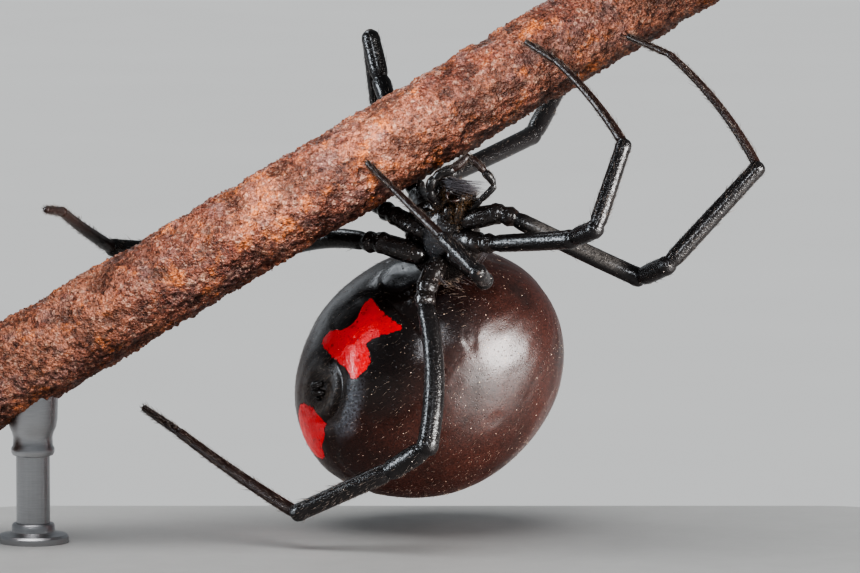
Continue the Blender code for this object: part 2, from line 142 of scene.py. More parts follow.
# Places of the joints of each leg: coxa root, femur root, knee, patella end, tibia end,
# metatarsus end and foot
LEG_JOINTS = {
    "left_1": ((1.30, -1.45, 2.35), (2.55, -2.10, 2.60), (7.35, -2.80, 0.30), (8.30, -4.15, 0.75),
               (11.45, -4.00, 4.15), (8.40, -2.50, 8.15), (7.00, -1.55, 8.80)),
    "left_2": ((1.05, -1.10, 1.70), (1.85, -1.90, 1.50), (4.95, -4.45, 1.65), (5.75, -5.55, 2.00),
               (6.75, -4.75, 4.95), (4.45, -2.50, 7.90), (3.40, -1.75, 8.60)),
    "left_3": ((0.80, -0.75, 1.15), (1.65, -0.90, 0.50), (1.90, -4.10, 0.20), (1.65, -5.20, 0.50),
               (0.45, -3.85, 1.70), (-1.30, -2.35, 3.45), (-2.20, -1.85, 4.35)),
    "left_4": ((0.30, -0.50, 0.85), (-0.20, -1.00, -0.20), (-0.10, -3.10, -5.65), (-1.35, -2.30, -6.45),
               (-4.70, -1.25, -8.00), (-8.90, 0.80, -5.20), (-10.20, 1.80, -4.35)),
    "right_1": ((0.35, -1.05, 2.95), (0.25, -0.90, 3.75), (3.70, 3.45, 5.45), (4.25, 4.85, 6.45),
                (5.70, 8.60, 9.20), (7.90, 3.40, 9.95), (8.85, 1.85, 10.85)),
    "right_2": ((0.05, -0.70, 2.45), (-0.45, 1.30, 3.30), (-1.75, 3.50, 7.35), (-2.15, 3.70, 9.00),
                (-1.90, 4.85, 6.65), (-3.55, 2.25, 4.35), (-4.75, 1.80, 3.35)),
    "right_3": ((-0.20, -0.40, 1.95), (-1.40, 0.40, 2.60), (-3.15, 3.25, 3.60), (-4.20, 3.55, 4.10),
                (-5.45, 2.35, 2.95), (-8.15, 2.70, 2.45), (-8.20, 1.80, 1.55)),
    "right_4": ((-0.35, -0.20, 1.10), (-1.90, 0.50, 1.62), (-6.00, 4.35, 1.12), (-7.60, 5.05, 1.12),
                (-11.45, 3.55, 1.40), (-13.00, -1.10, 2.65), (-13.45, -2.85, 2.70)),
}
FEMUR_BOW = {1: 0.02, 2: 0.02, 3: 0.05, 4: 0.30}
METATARSUS_BOW = {1: 0.22, 2: 0.12, 3: 0.05, 4: 0.06}
# The thigh that arches upwards, and a place below it
ARCHED_LEG = "right_4"
UNDER_ARCH = np.array((-4.2, 2.0, -2.0))
# The thigh with grey dust and a painted highlight on it, and the side on which they lie
DUSTED_LEG = "left_1"
DUSTED_SIDE = (0.0, -0.90, 0.44)
LEG_STEP = 0.09
LEG_SIDES, PALP_SIDES = 26, 14

# The claws: how far they bend in free air, how far they go into bark, and how near held bark is
CLAW_LENGTH = 0.10
CLAW_BITE = 0.03
HOLDING_DISTANCE = 0.60
# Along one claw: how far it runs on and which share of its bend it has made, and its radii
CLAW_STEPS = ((0.0, 0.0), (0.07, 0.12), (0.13, 0.50), (0.15, 1.00))
CLAW_RADII = (0.022, 0.019, 0.013, 0.005)

# Places along each palp, from its root to its tip
PALP_POINTS = {
    "left": ((1.30, -1.60, 2.68), (1.75, -2.10, 3.02), (2.25, -2.30, 3.50), (1.95, -2.40, 3.98),
             (1.42, -2.30, 4.52)),
    "right": ((0.40, -1.45, 2.90), (0.02, -1.95, 3.32), (0.12, -2.15, 3.76), (0.75, -2.32, 4.10),
              (1.32, -2.28, 4.58)),
}
PALP_RADII = {"left": (0.12, 0.11, 0.10, 0.145, 0.11), "right": (0.16, 0.165, 0.16, 0.17, 0.12)}

# The rounded ends of a tube: turns of their rings in degrees, their bulge, and their last point
CAP_TURNS = (25, 50, 72)
CAP_BULGE = 0.75
CAP_POINT = 0.78

# Materials of the skin, in the order of its material slots
ABDOMEN, BODY, LEG, FOOT, MEMBRANE = range(5)

draw = np.random.default_rng(SEED)


def to_world(places):
    """Places of the layout, in millimetres, as places of the frame, in metres."""
    return (np.asarray(places) @ LEAN_MATRIX.T + (0.0, 0.0, LAYOUT_HEIGHT)) * MM


def to_layout(places):
    """Places of the frame, in millimetres, as places of the layout."""
    return (places - (0.0, 0.0, LAYOUT_HEIGHT)) @ LEAN_MATRIX


def unit(vectors):
    """The vectors at length one."""
    vectors = np.asarray(vectors, float)
    return vectors / np.maximum(np.linalg.norm(vectors, axis=-1, keepdims=True), 1e-9)


def ease(values, low, high):
    """A smooth step from 0 at low to 1 at high."""
    share = np.clip((np.asarray(values, float) - low) / (high - low), 0.0, 1.0)
    return share * share * (3.0 - 2.0 * share)


def bell(*offsets):
    """A smooth bump, 1 where all offsets are 0."""
    return np.exp(-sum(offset ** 2 for offset in offsets))


def angle_from(sphere, direction):
    """Angle of each point of a unit sphere from a direction."""
    return np.arccos(np.clip(sphere @ direction, -1.0, 1.0))


def around(turn, first, second):
    """Directions at some turns between two directions across an axis."""
    return np.cos(turn)[..., None] * first + np.sin(turn)[..., None] * second


def even_turns(count):
    """Turns spread evenly over a full circle."""
    return FULL_TURN * np.arange(count) / count


def body_frame(forward, belly):
    """Columns forward, to the animal's left and towards its back."""
    forward = forward.normalized()
    back = -(belly - forward * belly.dot(forward)).normalized()
    return np.array(Matrix((forward, back.cross(forward), back)).transposed())


THORAX_FRAME = body_frame(THORAX_FORWARD, THORAX_BELLY)
ABDOMEN_FRAME = body_frame(ABDOMEN_FORWARD, ABDOMEN_BELLY)


def thorax_place(places, side=1.0):
    """Places given in the front body's own directions, or mirrored with side -1, in the layout."""
    return THORAX_CENTRE + (np.asarray(places, float) * (1.0, side, 1.0)) @ THORAX_FRAME.T


def noise_at(places, scale, offset=0.0):
    """Smooth noise from about -1 to 1 at each place."""
    shifted = np.asarray(places) * scale + offset
    return np.array([noise.noise(p) for p in shifted.tolist()])


def cell_distance(places, scale, offset=0.0):
    """Distance from each place to the nearest point of an irregular lattice."""
    shifted = np.asarray(places) * scale + offset
    return np.array([noise.voronoi(p)[0][0] for p in shifted.tolist()])


def add_object(name, data):
    """An object of the scene with its data."""
    item = bpy.data.objects.new(name, data)
    bpy.context.scene.collection.objects.link(item)
    return item


def new_mesh(name, places, faces, material=0):
    """An object from places of the layout and lists of faces."""
    mesh = bpy.data.meshes.new(name)
    mesh.from_pydata(to_world(places).tolist(), [], [list(f) for f in faces])
    mesh.polygons.foreach_set("material_index", np.full(len(mesh.polygons), material, np.int32))
    return add_object(name, mesh)


def store(mesh, **numbers):
    """Keep named numbers for each point of a mesh."""
    for name, values in numbers.items():
        attribute = mesh.attributes.new(name, "FLOAT", "POINT")
        attribute.data.foreach_set("value", np.asarray(values, np.float32))


def sweep_frames(path):
    """Directions along a path, and two directions across it that turn as little as they can."""
    along = unit(np.gradient(path, axis=0))
    side = unit(np.cross(along[0], (0.31, 0.42, 0.85)))
    sides = []
    for direction in along:
        side = unit(side - direction * (side @ direction))
        sides.append(side)
    sides = np.array(sides)
    return along, sides, np.cross(along, sides)


def ring_faces(stations, count):
    """Faces of a closed tube whose first and last rings close on one point each."""
    faces = []
    for i in range(stations - 1):
        for j in range(count):
            k = (j + 1) % count
            faces.append((i * count + j, i * count + k, (i + 1) * count + k, (i + 1) * count + j))
    first, last = stations * count, stations * count + 1
    for j in range(count):
        k = (j + 1) % count
        faces.append((first, k, j))
        faces.append((last, (stations - 1) * count + j, (stations - 1) * count + k))
    return faces


def closed_tube(name, path, radii, count, material):
    """A closed tube along a path, with rounded ends."""
    path = np.asarray(path, float)
    start, end = unit(path[0] - path[1]), unit(path[-1] - path[-2])
    places, widths = list(path), list(radii)
    for turn in map(math.radians, CAP_TURNS):
        places.insert(0, path[0] + start * radii[0] * CAP_BULGE * math.sin(turn))
        widths.insert(0, radii[0] * math.cos(turn))
        places.append(path[-1] + end * radii[-1] * CAP_BULGE * math.sin(turn))
        widths.append(radii[-1] * math.cos(turn))
    places = np.array(places)
    _, first, second = sweep_frames(places)
    rings = around(even_turns(count), first[:, None, :], second[:, None, :])
    rings = places[:, None, :] + rings * np.array(widths)[:, None, None]
    points = (path[0] + start * radii[0] * CAP_POINT, path[-1] + end * radii[-1] * CAP_POINT)
    rows = np.vstack((rings.reshape(-1, 3), points))
    return new_mesh(name, rows, ring_faces(len(places), count), material)


def round_form(name, shape, cuts, material):
    """A closed round form: shape turns points of a unit sphere into places of the layout."""
    bm = bmesh.new()
    bmesh.ops.create_cube(bm, size=2.0)
    bmesh.ops.subdivide_edges(bm, edges=bm.edges[:], cuts=cuts, use_grid_fill=True)
    bm.verts.index_update()
    cube = np.array([v.co for v in bm.verts])
    faces = [[v.index for v in f.verts] for f in bm.faces]
    bm.free()
    sphere = unit(np.tan(cube * math.pi / 4.0))
    return new_mesh(name, shape(sphere), faces, material)


# The articles of the legs and palps

def article_path(start, end, inside, bow):
    """Places from one joint to the next, pushed away from a third place in the middle."""
    count = max(6, int(np.linalg.norm(end - start) / LEG_STEP))
    share = np.linspace(0.0, 1.0, count)[:, None]
    along = unit(end - start)
    outward = (start + end) / 2.0 - inside
    outward = unit(outward - along * (outward @ along))
    return start + (end - start) * share + outward * 4.5 * bow * share * (1.0 - share)


def article_radii(path, base, tip, neck=0.80, rim=0.06, swell=0.03):
    """Radii along an article: a narrow root, an even shaft and a slight rim at the end."""
    steps = np.linalg.norm(np.diff(path, axis=0), axis=1)
    run = np.concatenate(((0.0,), np.cumsum(steps)))
    length = run[-1]
    radii = base + (tip - base) * run / length
    radii = radii * (1.0 + swell * np.sin(math.pi * run / length))
    radii = radii * (neck + (1.0 - neck) * ease(run, 0.05, 0.05 + 1.2 * base))
    return radii * (1.0 + rim * bell((length - run - 0.12) / 0.09))


def leg_articles(name):
    """Name, path, radii and material of each article of one leg."""
    pair = int(name[-1])
    (coxa, trochanter, femur_a, femur_b, patella, tibia_a, tibia_b,
     metatarsus_a, metatarsus_b, tip_radius) = LEG_RADII[pair]
    root, hip, knee, shin, wrist, heel, tip = np.array(LEG_JOINTS[name])
    inward = unit(hip - root)
    hip_end = hip + unit(knee - hip) * 0.42
    rows = []

    def article(part, start, end, radii, material, inside=None, bow=0.0, **shape):
        aside = start + np.array((0.3, 0.2, 0.9)) if inside is None else inside
        path = article_path(start, end, aside, bow)
        rows.append((part, path, article_radii(path, *radii, **shape), material))

    article("coxa", root, hip - inward * 0.10, (coxa * 1.02, coxa * 0.90), BODY,
            neck=0.9, rim=0.14, swell=0.07)
    article("trochanter", hip - inward * 0.12, hip_end, (trochanter, trochanter), BODY,
            neck=0.84, rim=0.10, swell=0.12)
    inside = UNDER_ARCH if name == ARCHED_LEG else wrist
    article("femur", hip_end, knee, (femur_a, femur_b), LEG, inside, FEMUR_BOW[pair], neck=0.84)
    article("patella", knee, shin, (patella, patella * 1.02), LEG, neck=0.80, swell=0.07)
    article("tibia", shin, wrist, (tibia_a, tibia_b), LEG, neck=0.82, rim=0.07)
    article("metatarsus", wrist, heel, (metatarsus_a, metatarsus_b), FOOT, shin,
            METATARSUS_BOW[pair], neck=0.92, rim=0.04, swell=0.0)
    article("tarsus", heel, tip, (metatarsus_b * 0.95, tip_radius), FOOT, neck=0.9, rim=0.0)
    return rows


def palp_articles(name):
    """Name, path, radii and material of each article of one palp."""
    points = np.array(PALP_POINTS[name])
    radii = PALP_RADII[name]
    rows = []
    last = len(points) - 2
    for index in range(last + 1):
        inside = points[index - 1] if index else points[2]
        path = article_path(points[index], points[index + 1], inside, 0.05)
        widths = article_radii(path, radii[index], radii[index + 1], neck=0.74, rim=0.14, swell=0.08)
        rows.append((f"part_{index}", path, widths, LEG if index < last else FOOT))
    return rows


ARTICLES = {f"leg_{name}": leg_articles(name) for name in LEG_JOINTS}
ARTICLES.update({f"palp_{name}": palp_articles(name) for name in PALP_POINTS})


def limb_parts():
    """Closed pieces of all legs and palps, with the membrane that shows at each joint."""
    pieces = []
    for limb, rows in ARTICLES.items():
        sides = LEG_SIDES if limb.startswith("leg") else PALP_SIDES
        for index, (part, path, radii, material) in enumerate(rows):
            pieces.append(closed_tube(f"{limb}_{part}", path, radii, sides, material))
            if index:
                before = rows[index - 1][2][-1]
                reach = unit(path[2] - path[0]) * before * 0.35
                girth = min(before, radii[4]) * 0.72
                line = (path[0] - reach, path[0], path[0] + reach)
                pieces.append(closed_tube("joint", line, (girth,) * 3, 16, MEMBRANE))
    return pieces


# The body

def abdomen_unit(places):
    """Places of the layout in the abdomen's own directions, as shares of its half lengths."""
    return ((np.asarray(places) - ABDOMEN_CENTRE) @ ABDOMEN_FRAME) / ABDOMEN_HALF


SPINNERETS = unit(abdomen_unit(ABDOMEN_CENTRE + SPINNERET_DIRECTION * 4.0))


def cover_place(sphere):
    """How far forward and aside each point lies, in the directions of the lung covers."""
    f, l, _ = sphere.T
    return f - 0.2 * l, l + 0.2 * f - 0.06


def lung_covers(sphere):
    """How far each point lies on the two smooth plates at the front of the belly, from 0 to 1."""
    ahead, aside = cover_place(sphere)
    reach = np.hypot((ahead - 0.46) / 0.23, (np.abs(aside) - 0.33) / 0.24)
    edge = ease(1.0 - reach + 0.10 * noise_at(sphere, 5.0), 0.0, 0.20)
    return edge * (sphere[:, 2] < 0) * (1.0 - 0.8 * ease(aside, 0.0, 0.2))


def fold_side(places):
    """How far each place lies towards the folded side of the spinnerets, from -1 to 1."""
    middle = ABDOMEN_CENTRE + (SPINNERETS * ABDOMEN_HALF) @ ABDOMEN_FRAME.T
    return unit(places - middle) @ unit(FOLD_SIDE)


def fold_sheen(places, away):
    """How far each place lies on the crest of the fold, where a grey highlight is painted, from 0 to 1."""
    ragged = 0.035 * noise_at(places, 1.7, 4.0) + 0.02 * noise_at(places, 4.5, 8.0)
    across = ease(away + ragged, 0.30, 0.37) * ease(0.54 - away + ragged, 0.0, 0.16)
    return across * ease(fold_side(places) + ragged, 0.62, 0.80)


def abdomen_relief(sphere, places):
    """Height of the abdomen's folds and dimples over its smooth globe, in millimetres."""
    _, l, b = sphere.T
    belly = ease(-b, 0.2, 0.7)
    height = 0.035 * noise_at(places, 0.45) + 0.012 * noise_at(places, 1.3, 5.0)
    # The furrow across the belly behind the lung covers, the hollow before it, and the raised covers
    ahead, aside = cover_place(sphere)
    furrow_line = 0.215 + 0.02 * np.sin(9.0 * aside)
    furrow = bell((ahead - furrow_line) / 0.018) * ease(0.36 - np.abs(aside - 0.04), 0.0, 0.2)
    hollow = bell((ahead - 0.30) / 0.07, aside / 0.26)
    covers = lung_covers(sphere) * (0.034 + 0.030 * noise_at(places, 1.5, 9.0))
    height += belly * (covers - 0.05 * furrow - 0.05 * hollow)
    # A small bulge in front of the furrow's middle
    height += belly * 0.10 * bell((ahead - 0.34) / 0.045, aside / 0.09)
    # The sunken ring round the spinnerets, and the fold outside it
    away = angle_from(sphere, SPINNERETS)
    side = ease(fold_side(places), -0.15, 0.75)
    rough = 0.020 * noise_at(places, 4.0, 2.0) * ease(0.26 - away, 0.0, 0.08)
    height += rough - 0.10 * bell((away - 0.105) / 0.035) + 0.02 * bell(away / 0.07)
    height -= (0.012 + 0.075 * side) * bell((away - 0.278) / 0.040)
    height += 0.085 * side * bell((away - 0.42) / 0.085)
    height += 0.012 * side * noise_at(places, 3.4, 17.0) * bell((away - 0.42) / 0.11)
    dimples = list(MIDLINE_DIMPLES)
    for forward, left, back in PAIRED_DIMPLES:
        dimples += [(forward, left, back), (forward, -left, back)]
    for spot in dimples:
        gap = angle_from(sphere, unit(spot))
        height += 0.006 * bell((gap - 0.034) / 0.014) - 0.040 * bell(gap / 0.020)
    # Shallow uneven dents on the flanks, and creases that run round them
    flank = ease(-b, 0.95, 0.75)
    height -= flank * 0.022 * ease(noise_at(places, 1.05, 31.0), 0.22, 0.55)
    height += flank * 0.004 * np.sin(46.0 * np.arctan2(b, l) * 0.5 + 2.0 * noise_at(places, 0.8, 11.0))
    return height


def abdomen_out(sphere):
    """Directions out of the abdomen at points of its unit sphere."""
    return unit(sphere / ABDOMEN_HALF) @ ABDOMEN_FRAME.T


def abdomen_shape(sphere):
    """The globe of the abdomen with its folds."""
    taper = 1.0 - ABDOMEN_REAR_TAPER * np.maximum(0.0, -sphere[:, :1]) ** 2
    local = sphere * ABDOMEN_HALF * np.hstack((np.ones_like(taper), taper, taper))
    places = ABDOMEN_CENTRE + local @ ABDOMEN_FRAME.T
    height = abdomen_relief(sphere, places) - 0.03
    return places + abdomen_out(sphere) * height[:, None]


def carapace_shape(sphere):
    """The back shield: broad behind, with a narrower head, and a pit with rays in the middle."""
    f, s, b = sphere.T
    ahead = ease(f, -0.05, 0.75)
    width = CARAPACE_HALF_WIDTH * (1.0 - (1.0 - HEAD_WIDTH_SHARE) * ahead)
    fullness = 1.0 + 0.35 * ahead * (1.0 - np.abs(s))
    height = np.where(b > 0, CARAPACE_HEIGHT, CARAPACE_DEPTH)
    pit = bell((f + 0.22) / 0.10, s / 0.16)
    rays = np.cos(7.0 * np.arctan2(s, f + 0.22)) * bell((np.hypot(f + 0.22, s) - 0.5) / 0.3)
    neck = bell((np.abs(s) - 0.42 - 0.5 * (f - 0.1)) / 0.10) * ease(f, -0.2, 0.1) * ease(0.6 - f, 0.0, 0.3)
    sunk = ease(b, 0.0, 0.4) * (0.17 * pit + 0.03 * rays * (1.0 - ahead) + 0.08 * neck)
    local = (CARAPACE_HALF_LENGTH * f, width * s * fullness, height * b - sunk)
    return thorax_place(np.stack(local, axis=1))


def sternum_shape(sphere):
    """The heart-shaped breast plate, broad in front and narrow behind, with slightly wavy edges."""
    f, s, b = sphere.T
    width = 0.70 * (1.0 + 0.28 * f) * (1.0 - 0.05 * np.cos(9.0 * f))
    return thorax_place(np.stack((1.05 * f, width * s, -0.25 + 0.42 * b), axis=1))


def lobe_shape(centre, size, lean=0.0):
    """A small egg-shaped lobe on the front body, that may lean to one side."""
    def shape(sphere):
        f, s, b = (sphere * np.array(size)).T
        return thorax_place(np.stack((f, s + lean * f, b), axis=1) + np.array(centre))
    return shape


def jaw_plate_shape(side):
    """The plate beside the lip, at the root of one palp."""
    return lobe_shape((1.36, 0.36 * side, -0.48), (0.50, 0.19, 0.19), -0.22 * side)


def body_parts():
    """Closed pieces of the front body, and the waist."""
    pieces = [
        round_form("carapace", carapace_shape, 40, BODY),
        round_form("sternum", sternum_shape, 20, BODY),
        round_form("lip", lobe_shape(LIP_CENTRE, LIP_SIZE), 9, BODY),
        round_form("face", lobe_shape((1.50, 0.0, 0.18), (0.36, 0.66, 0.46)), 14, BODY),
    ]
    for side in (-1, 1):
        pieces.append(round_form("jaw_plate", jaw_plate_shape(side), 10, BODY))
        pieces.append(closed_tube("chelicera", thorax_place(JAW, side), JAW_RADII, 18, BODY))
    rear = thorax_place((-CARAPACE_HALF_LENGTH + 0.25, 0.0, 0.1))
    toward = unit(ABDOMEN_CENTRE - rear)
    waist = np.array([rear + toward * run for run in (0.0, 0.35, 0.7, 1.1, 1.6)])
    widths = PEDICEL_RADIUS * np.array((1.1, 0.95, 0.9, 1.0, 1.2))
    pieces.append(closed_tube("waist", waist, widths, 20, BODY))
    return pieces


def spinneret_parts():
    """Six short spinnerets close together, and the small lobe behind them, set on the abdomen."""
    outward = unit(SPINNERET_DIRECTION)
    reach = 1.0 / math.sqrt(np.sum((outward @ ABDOMEN_FRAME / ABDOMEN_HALF) ** 2))
    top = ABDOMEN_CENTRE + outward * (reach - 0.04)
    back = unit(np.array((0.0, 0.0, -1.0)) - outward * -outward[2])
    left = np.cross(outward, back)
    pieces = []
    for place, aside, size, length in ((0.13, 0.13, 0.135, 0.17), (-0.02, 0.05, 0.075, 0.16),
                                       (-0.15, 0.12, 0.125, 0.15)):
        for side in (-1.0, 1.0):
            root = top + back * place + left * side * aside
            lean = unit(outward - back * place * 0.8 - left * side * 0.45)
            path = np.array([root + lean * run for run in (-0.14, 0.0, 0.55 * length, length)])
            pieces.append(closed_tube("spinneret", path, (size, size, size * 0.88, size * 0.55), 16, BODY))
    lobe = np.array([top + back * 0.34 + outward * run for run in (-0.12, 0.0, 0.05)])
    pieces.append(closed_tube("lobe", lobe, (0.09, 0.08, 0.05), 14, BODY))
    return pieces


def join_solids(base, pieces):
    """Fuse pieces into the base as one closed surface."""
    tools = bpy.data.collections.new("tools")
    for piece in pieces:
        bpy.context.scene.collection.objects.unlink(piece)
        tools.objects.link(piece)
    modifier = base.modifiers.new("union", "BOOLEAN")
    modifier.operation = "UNION"
    modifier.operand_type = "COLLECTION"
    modifier.collection = tools
    modifier.solver = "MANIFOLD"
    bpy.context.view_layer.update()
    evaluated = base.evaluated_get(bpy.context.evaluated_depsgraph_get())
    mesh = bpy.data.meshes.new_from_object(evaluated)
    base.modifiers.clear()
    base.data = mesh
    for piece in list(tools.objects):
        bpy.data.objects.remove(piece)
    bpy.data.collections.remove(tools)


def outline_distance(points, outline):
    """Distance inside an outline, in its own plane: negative outside."""
    best = np.full(len(points), 1e9)
    inside = np.zeros(len(points), bool)
    for start, end in zip(outline, np.roll(outline, -1, axis=0)):
        edge = end - start
        share = np.clip(((points - start) @ edge) / (edge @ edge), 0.0, 1.0)
        best = np.minimum(best, np.linalg.norm(points - start - share[:, None] * edge, axis=1))
        crosses = (start[1] > points[:, 1]) != (end[1] > points[:, 1])
        rise = np.where(abs(edge[1]) < 1e-9, 1e-9, edge[1])
        inside ^= crosses & (points[:, 0] < start[0] + (points[:, 1] - start[1]) / rise * edge[0])
    return np.where(inside, best, -best)


def rounded(outline):
    """An outline with a smooth curve through its corners."""
    corners = np.array(outline)
    before, after = np.roll(corners, 1, axis=0), np.roll(corners, -1, axis=0)
    beyond = np.roll(corners, -2, axis=0)
    rows = []
    for share in np.linspace(0.0, 1.0, 6, endpoint=False):
        rows.append(0.5 * (2.0 * corners + (after - before) * share
                           + (2.0 * before - 5.0 * corners + 4.0 * after - beyond) * share ** 2
                           + (3.0 * corners - before - 3.0 * after + beyond) * share ** 3))
    return np.stack(rows, axis=1).reshape(-1, 2)


HOURGLASS_CURVE = rounded(HOURGLASS)
SECOND_CURVE = rounded(SECOND_MARK)


def mark_values(places):
    """How far inside a red mark each place of the layout lies, in millimetres."""
    share = abdomen_unit(places)
    on_globe = np.abs(np.linalg.norm(share, axis=1) - 1.0) < 0.1
    local = share * ABDOMEN_HALF
    first = np.where(share[:, 2] < -0.5, outline_distance(local[:, (0, 1)], HOURGLASS_CURVE), -1.0)
    second = np.where(share[:, 0] < -0.4, outline_distance(local[:, (1, 2)], SECOND_CURVE), -1.0)
    return np.where(on_globe, np.maximum(first, second), -1.0)


def dust_on_thigh(places):
    """Fine grey dust with a painted highlight along the upper front side of one thigh, from 0 to 1."""
    hip, knee = np.array(LEG_JOINTS[DUSTED_LEG][1:3])
    along = unit(knee - hip)
    reach = (places - hip) @ along
    across = places - hip - reach[:, None] * along
    near = ease(0.75 - np.linalg.norm(across, axis=1), 0.0, 0.15)
    ends = ease(reach, 0.6, 1.8) * ease(np.linalg.norm(knee - hip) - reach, 0.3, 1.1)
    return near * ends * ease(unit(across) @ unit(DUSTED_SIDE), 0.45, 0.95)


def make_skin(materials):
    """The whole spider's cuticle as one closed surface, with the numbers that its looks use."""
    skin = round_form("spider_skin", abdomen_shape, ABDOMEN_CUTS, ABDOMEN)
    pieces = body_parts() + spinneret_parts() + limb_parts()
    for piece in [skin] + pieces:
        wear(piece, *materials)
    join_solids(skin, pieces)
    mesh = skin.data
    world = np.empty(len(mesh.vertices) * 3)
    mesh.vertices.foreach_get("co", world)
    places = to_layout(world.reshape(-1, 3) / MM)
    share = unit(abdomen_unit(places))
    belly = -share[:, 2] + 0.07 * noise_at(places, 0.6, 3.0)
    away = angle_from(share, SPINNERETS)
    f, l, b = ((places - THORAX_CENTRE) @ THORAX_FRAME).T
    store(
        mesh,
        mark=mark_values(places),
        # Where a red-brown sheen is painted: the back and flanks, not the belly
        tone=1.0 - ease(belly, 0.58, 0.90),
        cover=lung_covers(share),
        ring=away,
        # The crest of the fold, where a grey highlight is painted
        fold=fold_sheen(places, away),
        # The pale reflection painted on the hourglass's lower lobe
        frost=ease(0.22 - angle_from(share, unit(FROST_SPOT)), 0.0, 0.18),
        # Where a grey sheen is painted on the breast plate
        plate=ease(0.95 - np.hypot((f + 0.12) / 0.90, l / 0.60), 0.0, 0.3) * ease(-b, 0.30, 0.42),
        # Grey dust with a painted highlight on one thigh
        dust=dust_on_thigh(places),
    )
    mesh.shade_smooth()
    mesh.set_sharp_from_angle(angle=math.radians(60))
    return skin


# Hairs

# On the map of the coat, the radius of one hair's patch
PATCH_RADIUS = 0.0015
# How deep a hair's root stands in the skin, and its radius there
HAIR_SINK = 0.02
HAIR_GIRTH = 0.0048
# The share of longer and thicker hairs on the limbs
BRISTLE_SHARE = 0.03
# Hairs of each article: number for each square millimetre, length, lift from the surface
ARTICLE_HAIRS = {
    "coxa": (7, 0.13, 0.55), "trochanter": (10, 0.12, 0.55), "femur": (13, 0.13, 0.45),
    "patella": (26, 0.16, 0.55), "tibia": (48, 0.17, 0.50), "metatarsus": (95, 0.17, 0.60),
    "tarsus": (230, 0.16, 0.60), "part_0": (60, 0.12, 0.50), "part_1": (70, 0.14, 0.50),
    "part_2": (110, 0.15, 0.50), "part_3": (220, 0.18, 0.45),
}
# The brush of bristles at the mouth, from root to tip, and single pale bristles below the hind
# legs: root, tip and number
BRUSH_ROOT = np.array((0.60, -2.28, 3.66))
BRUSH_TIP = np.array((1.75, -2.42, 3.42))
BRUSH_COUNT = 90
PALE_BRISTLES = (
    ((1.98, -1.00, 1.20), (1.72, -1.02, 0.82), 5), ((0.10, -0.95, 0.55), (0.62, -1.05, 0.02), 7),
    ((0.75, -0.85, 0.25), (1.15, -1.00, -0.05), 9), ((1.10, -0.80, 0.30), (1.45, -0.95, 0.10), 6),
)


def limb_inside(places, skip=None):
    """Which places lie inside another article than the one named."""
    inside = np.zeros(len(places), bool)
    for limb, rows in ARTICLES.items():
        for index, (_, path, radii, _) in enumerate(rows):
            if (limb, index) != skip:
                edge = path[-1] - path[0]
                share = np.clip(((places - path[0]) @ edge) / (edge @ edge), 0.0, 1.0)
                nearest = np.round(share * (len(path) - 1)).astype(int)
                inside |= np.linalg.norm(places - path[nearest], axis=1) < radii[nearest] * 0.98
    return inside


def globe_height(places):
    """How far outside the abdomen each place lies, roughly, in millimetres."""
    return (np.linalg.norm(abdomen_unit(places), axis=1) - 1.0) * ABDOMEN_HALF.mean()


def joined(parts):
    """Rows of several parts as one array for each column."""
    return [np.concatenate(column) for column in zip(*parts)]


def hair_faces(rings):
    """Corners of one hair's faces: a closed three-sided cone of some rings and a tip."""
    faces = [(2, 1, 0)]
    for low in range(0, 3 * rings - 3, 3):
        faces += [(low + i, low + (i + 1) % 3, low + 3 + (i + 1) % 3, low + 3 + i) for i in range(3)]
    low = 3 * rings - 3
    return faces + [(low + i, low + (i + 1) % 3, 3 * rings) for i in range(3)]


def hair_mesh(name, roots, directions, bends, lengths, girths, patches, marks=-1.0, rings=2, curl=0.28):
    """Many fine tapered hairs as one mesh, each with a shade of its own."""
    count = len(roots)
    shades = draw.random(count)
    directions = unit(directions)
    side = unit(np.cross(directions, draw.normal(size=(count, 3))))
    turns = even_turns(3)
    ring = around(turns, side[:, None], np.cross(directions, side)[:, None])
    rows = []
    for row in range(rings):
        share = row / rings
        run = lengths * share - (HAIR_SINK if row == 0 else 0.0)
        middle = roots + directions * run[:, None] + bends * (lengths * curl * share ** 2)[:, None]
        rows.append(middle[:, None] + ring * (girths * (1.0 - 0.6 * share))[:, None, None])
    tip = roots + directions * lengths[:, None] + bends * (lengths * curl)[:, None]
    places = np.concatenate(rows + [tip[:, None]], axis=1).reshape(-1, 3)
    pattern = hair_faces(rings)
    size = 3 * rings + 1
    faces = [tuple(size * index + corner for corner in face) for index in range(count) for face in pattern]
    item = new_mesh(name, places, faces)
    along = np.tile(np.append(np.repeat(np.arange(rings) / rings, 3), 1.0), count)
    marks = np.broadcast_to(marks, count)
    store(item.data, shade=np.repeat(shades, size), mark=np.repeat(marks, size), tip=along)
    spread = np.stack((np.cos(turns), np.sin(turns)), axis=1)
    offsets = np.vstack([spread * PATCH_RADIUS * (1.0 - row / rings) for row in range(rings)] + [(0.0, 0.0)])
    corners = np.array([corner for face in pattern for corner in face])
    on_map = patches[:, None, :] + offsets[corners][None, :, :]
    layer = item.data.uv_layers.new(name="OFBake")
    layer.uv.foreach_set("vector", on_map.reshape(-1).astype(np.float32))
    item.data.shade_smooth()
    return item


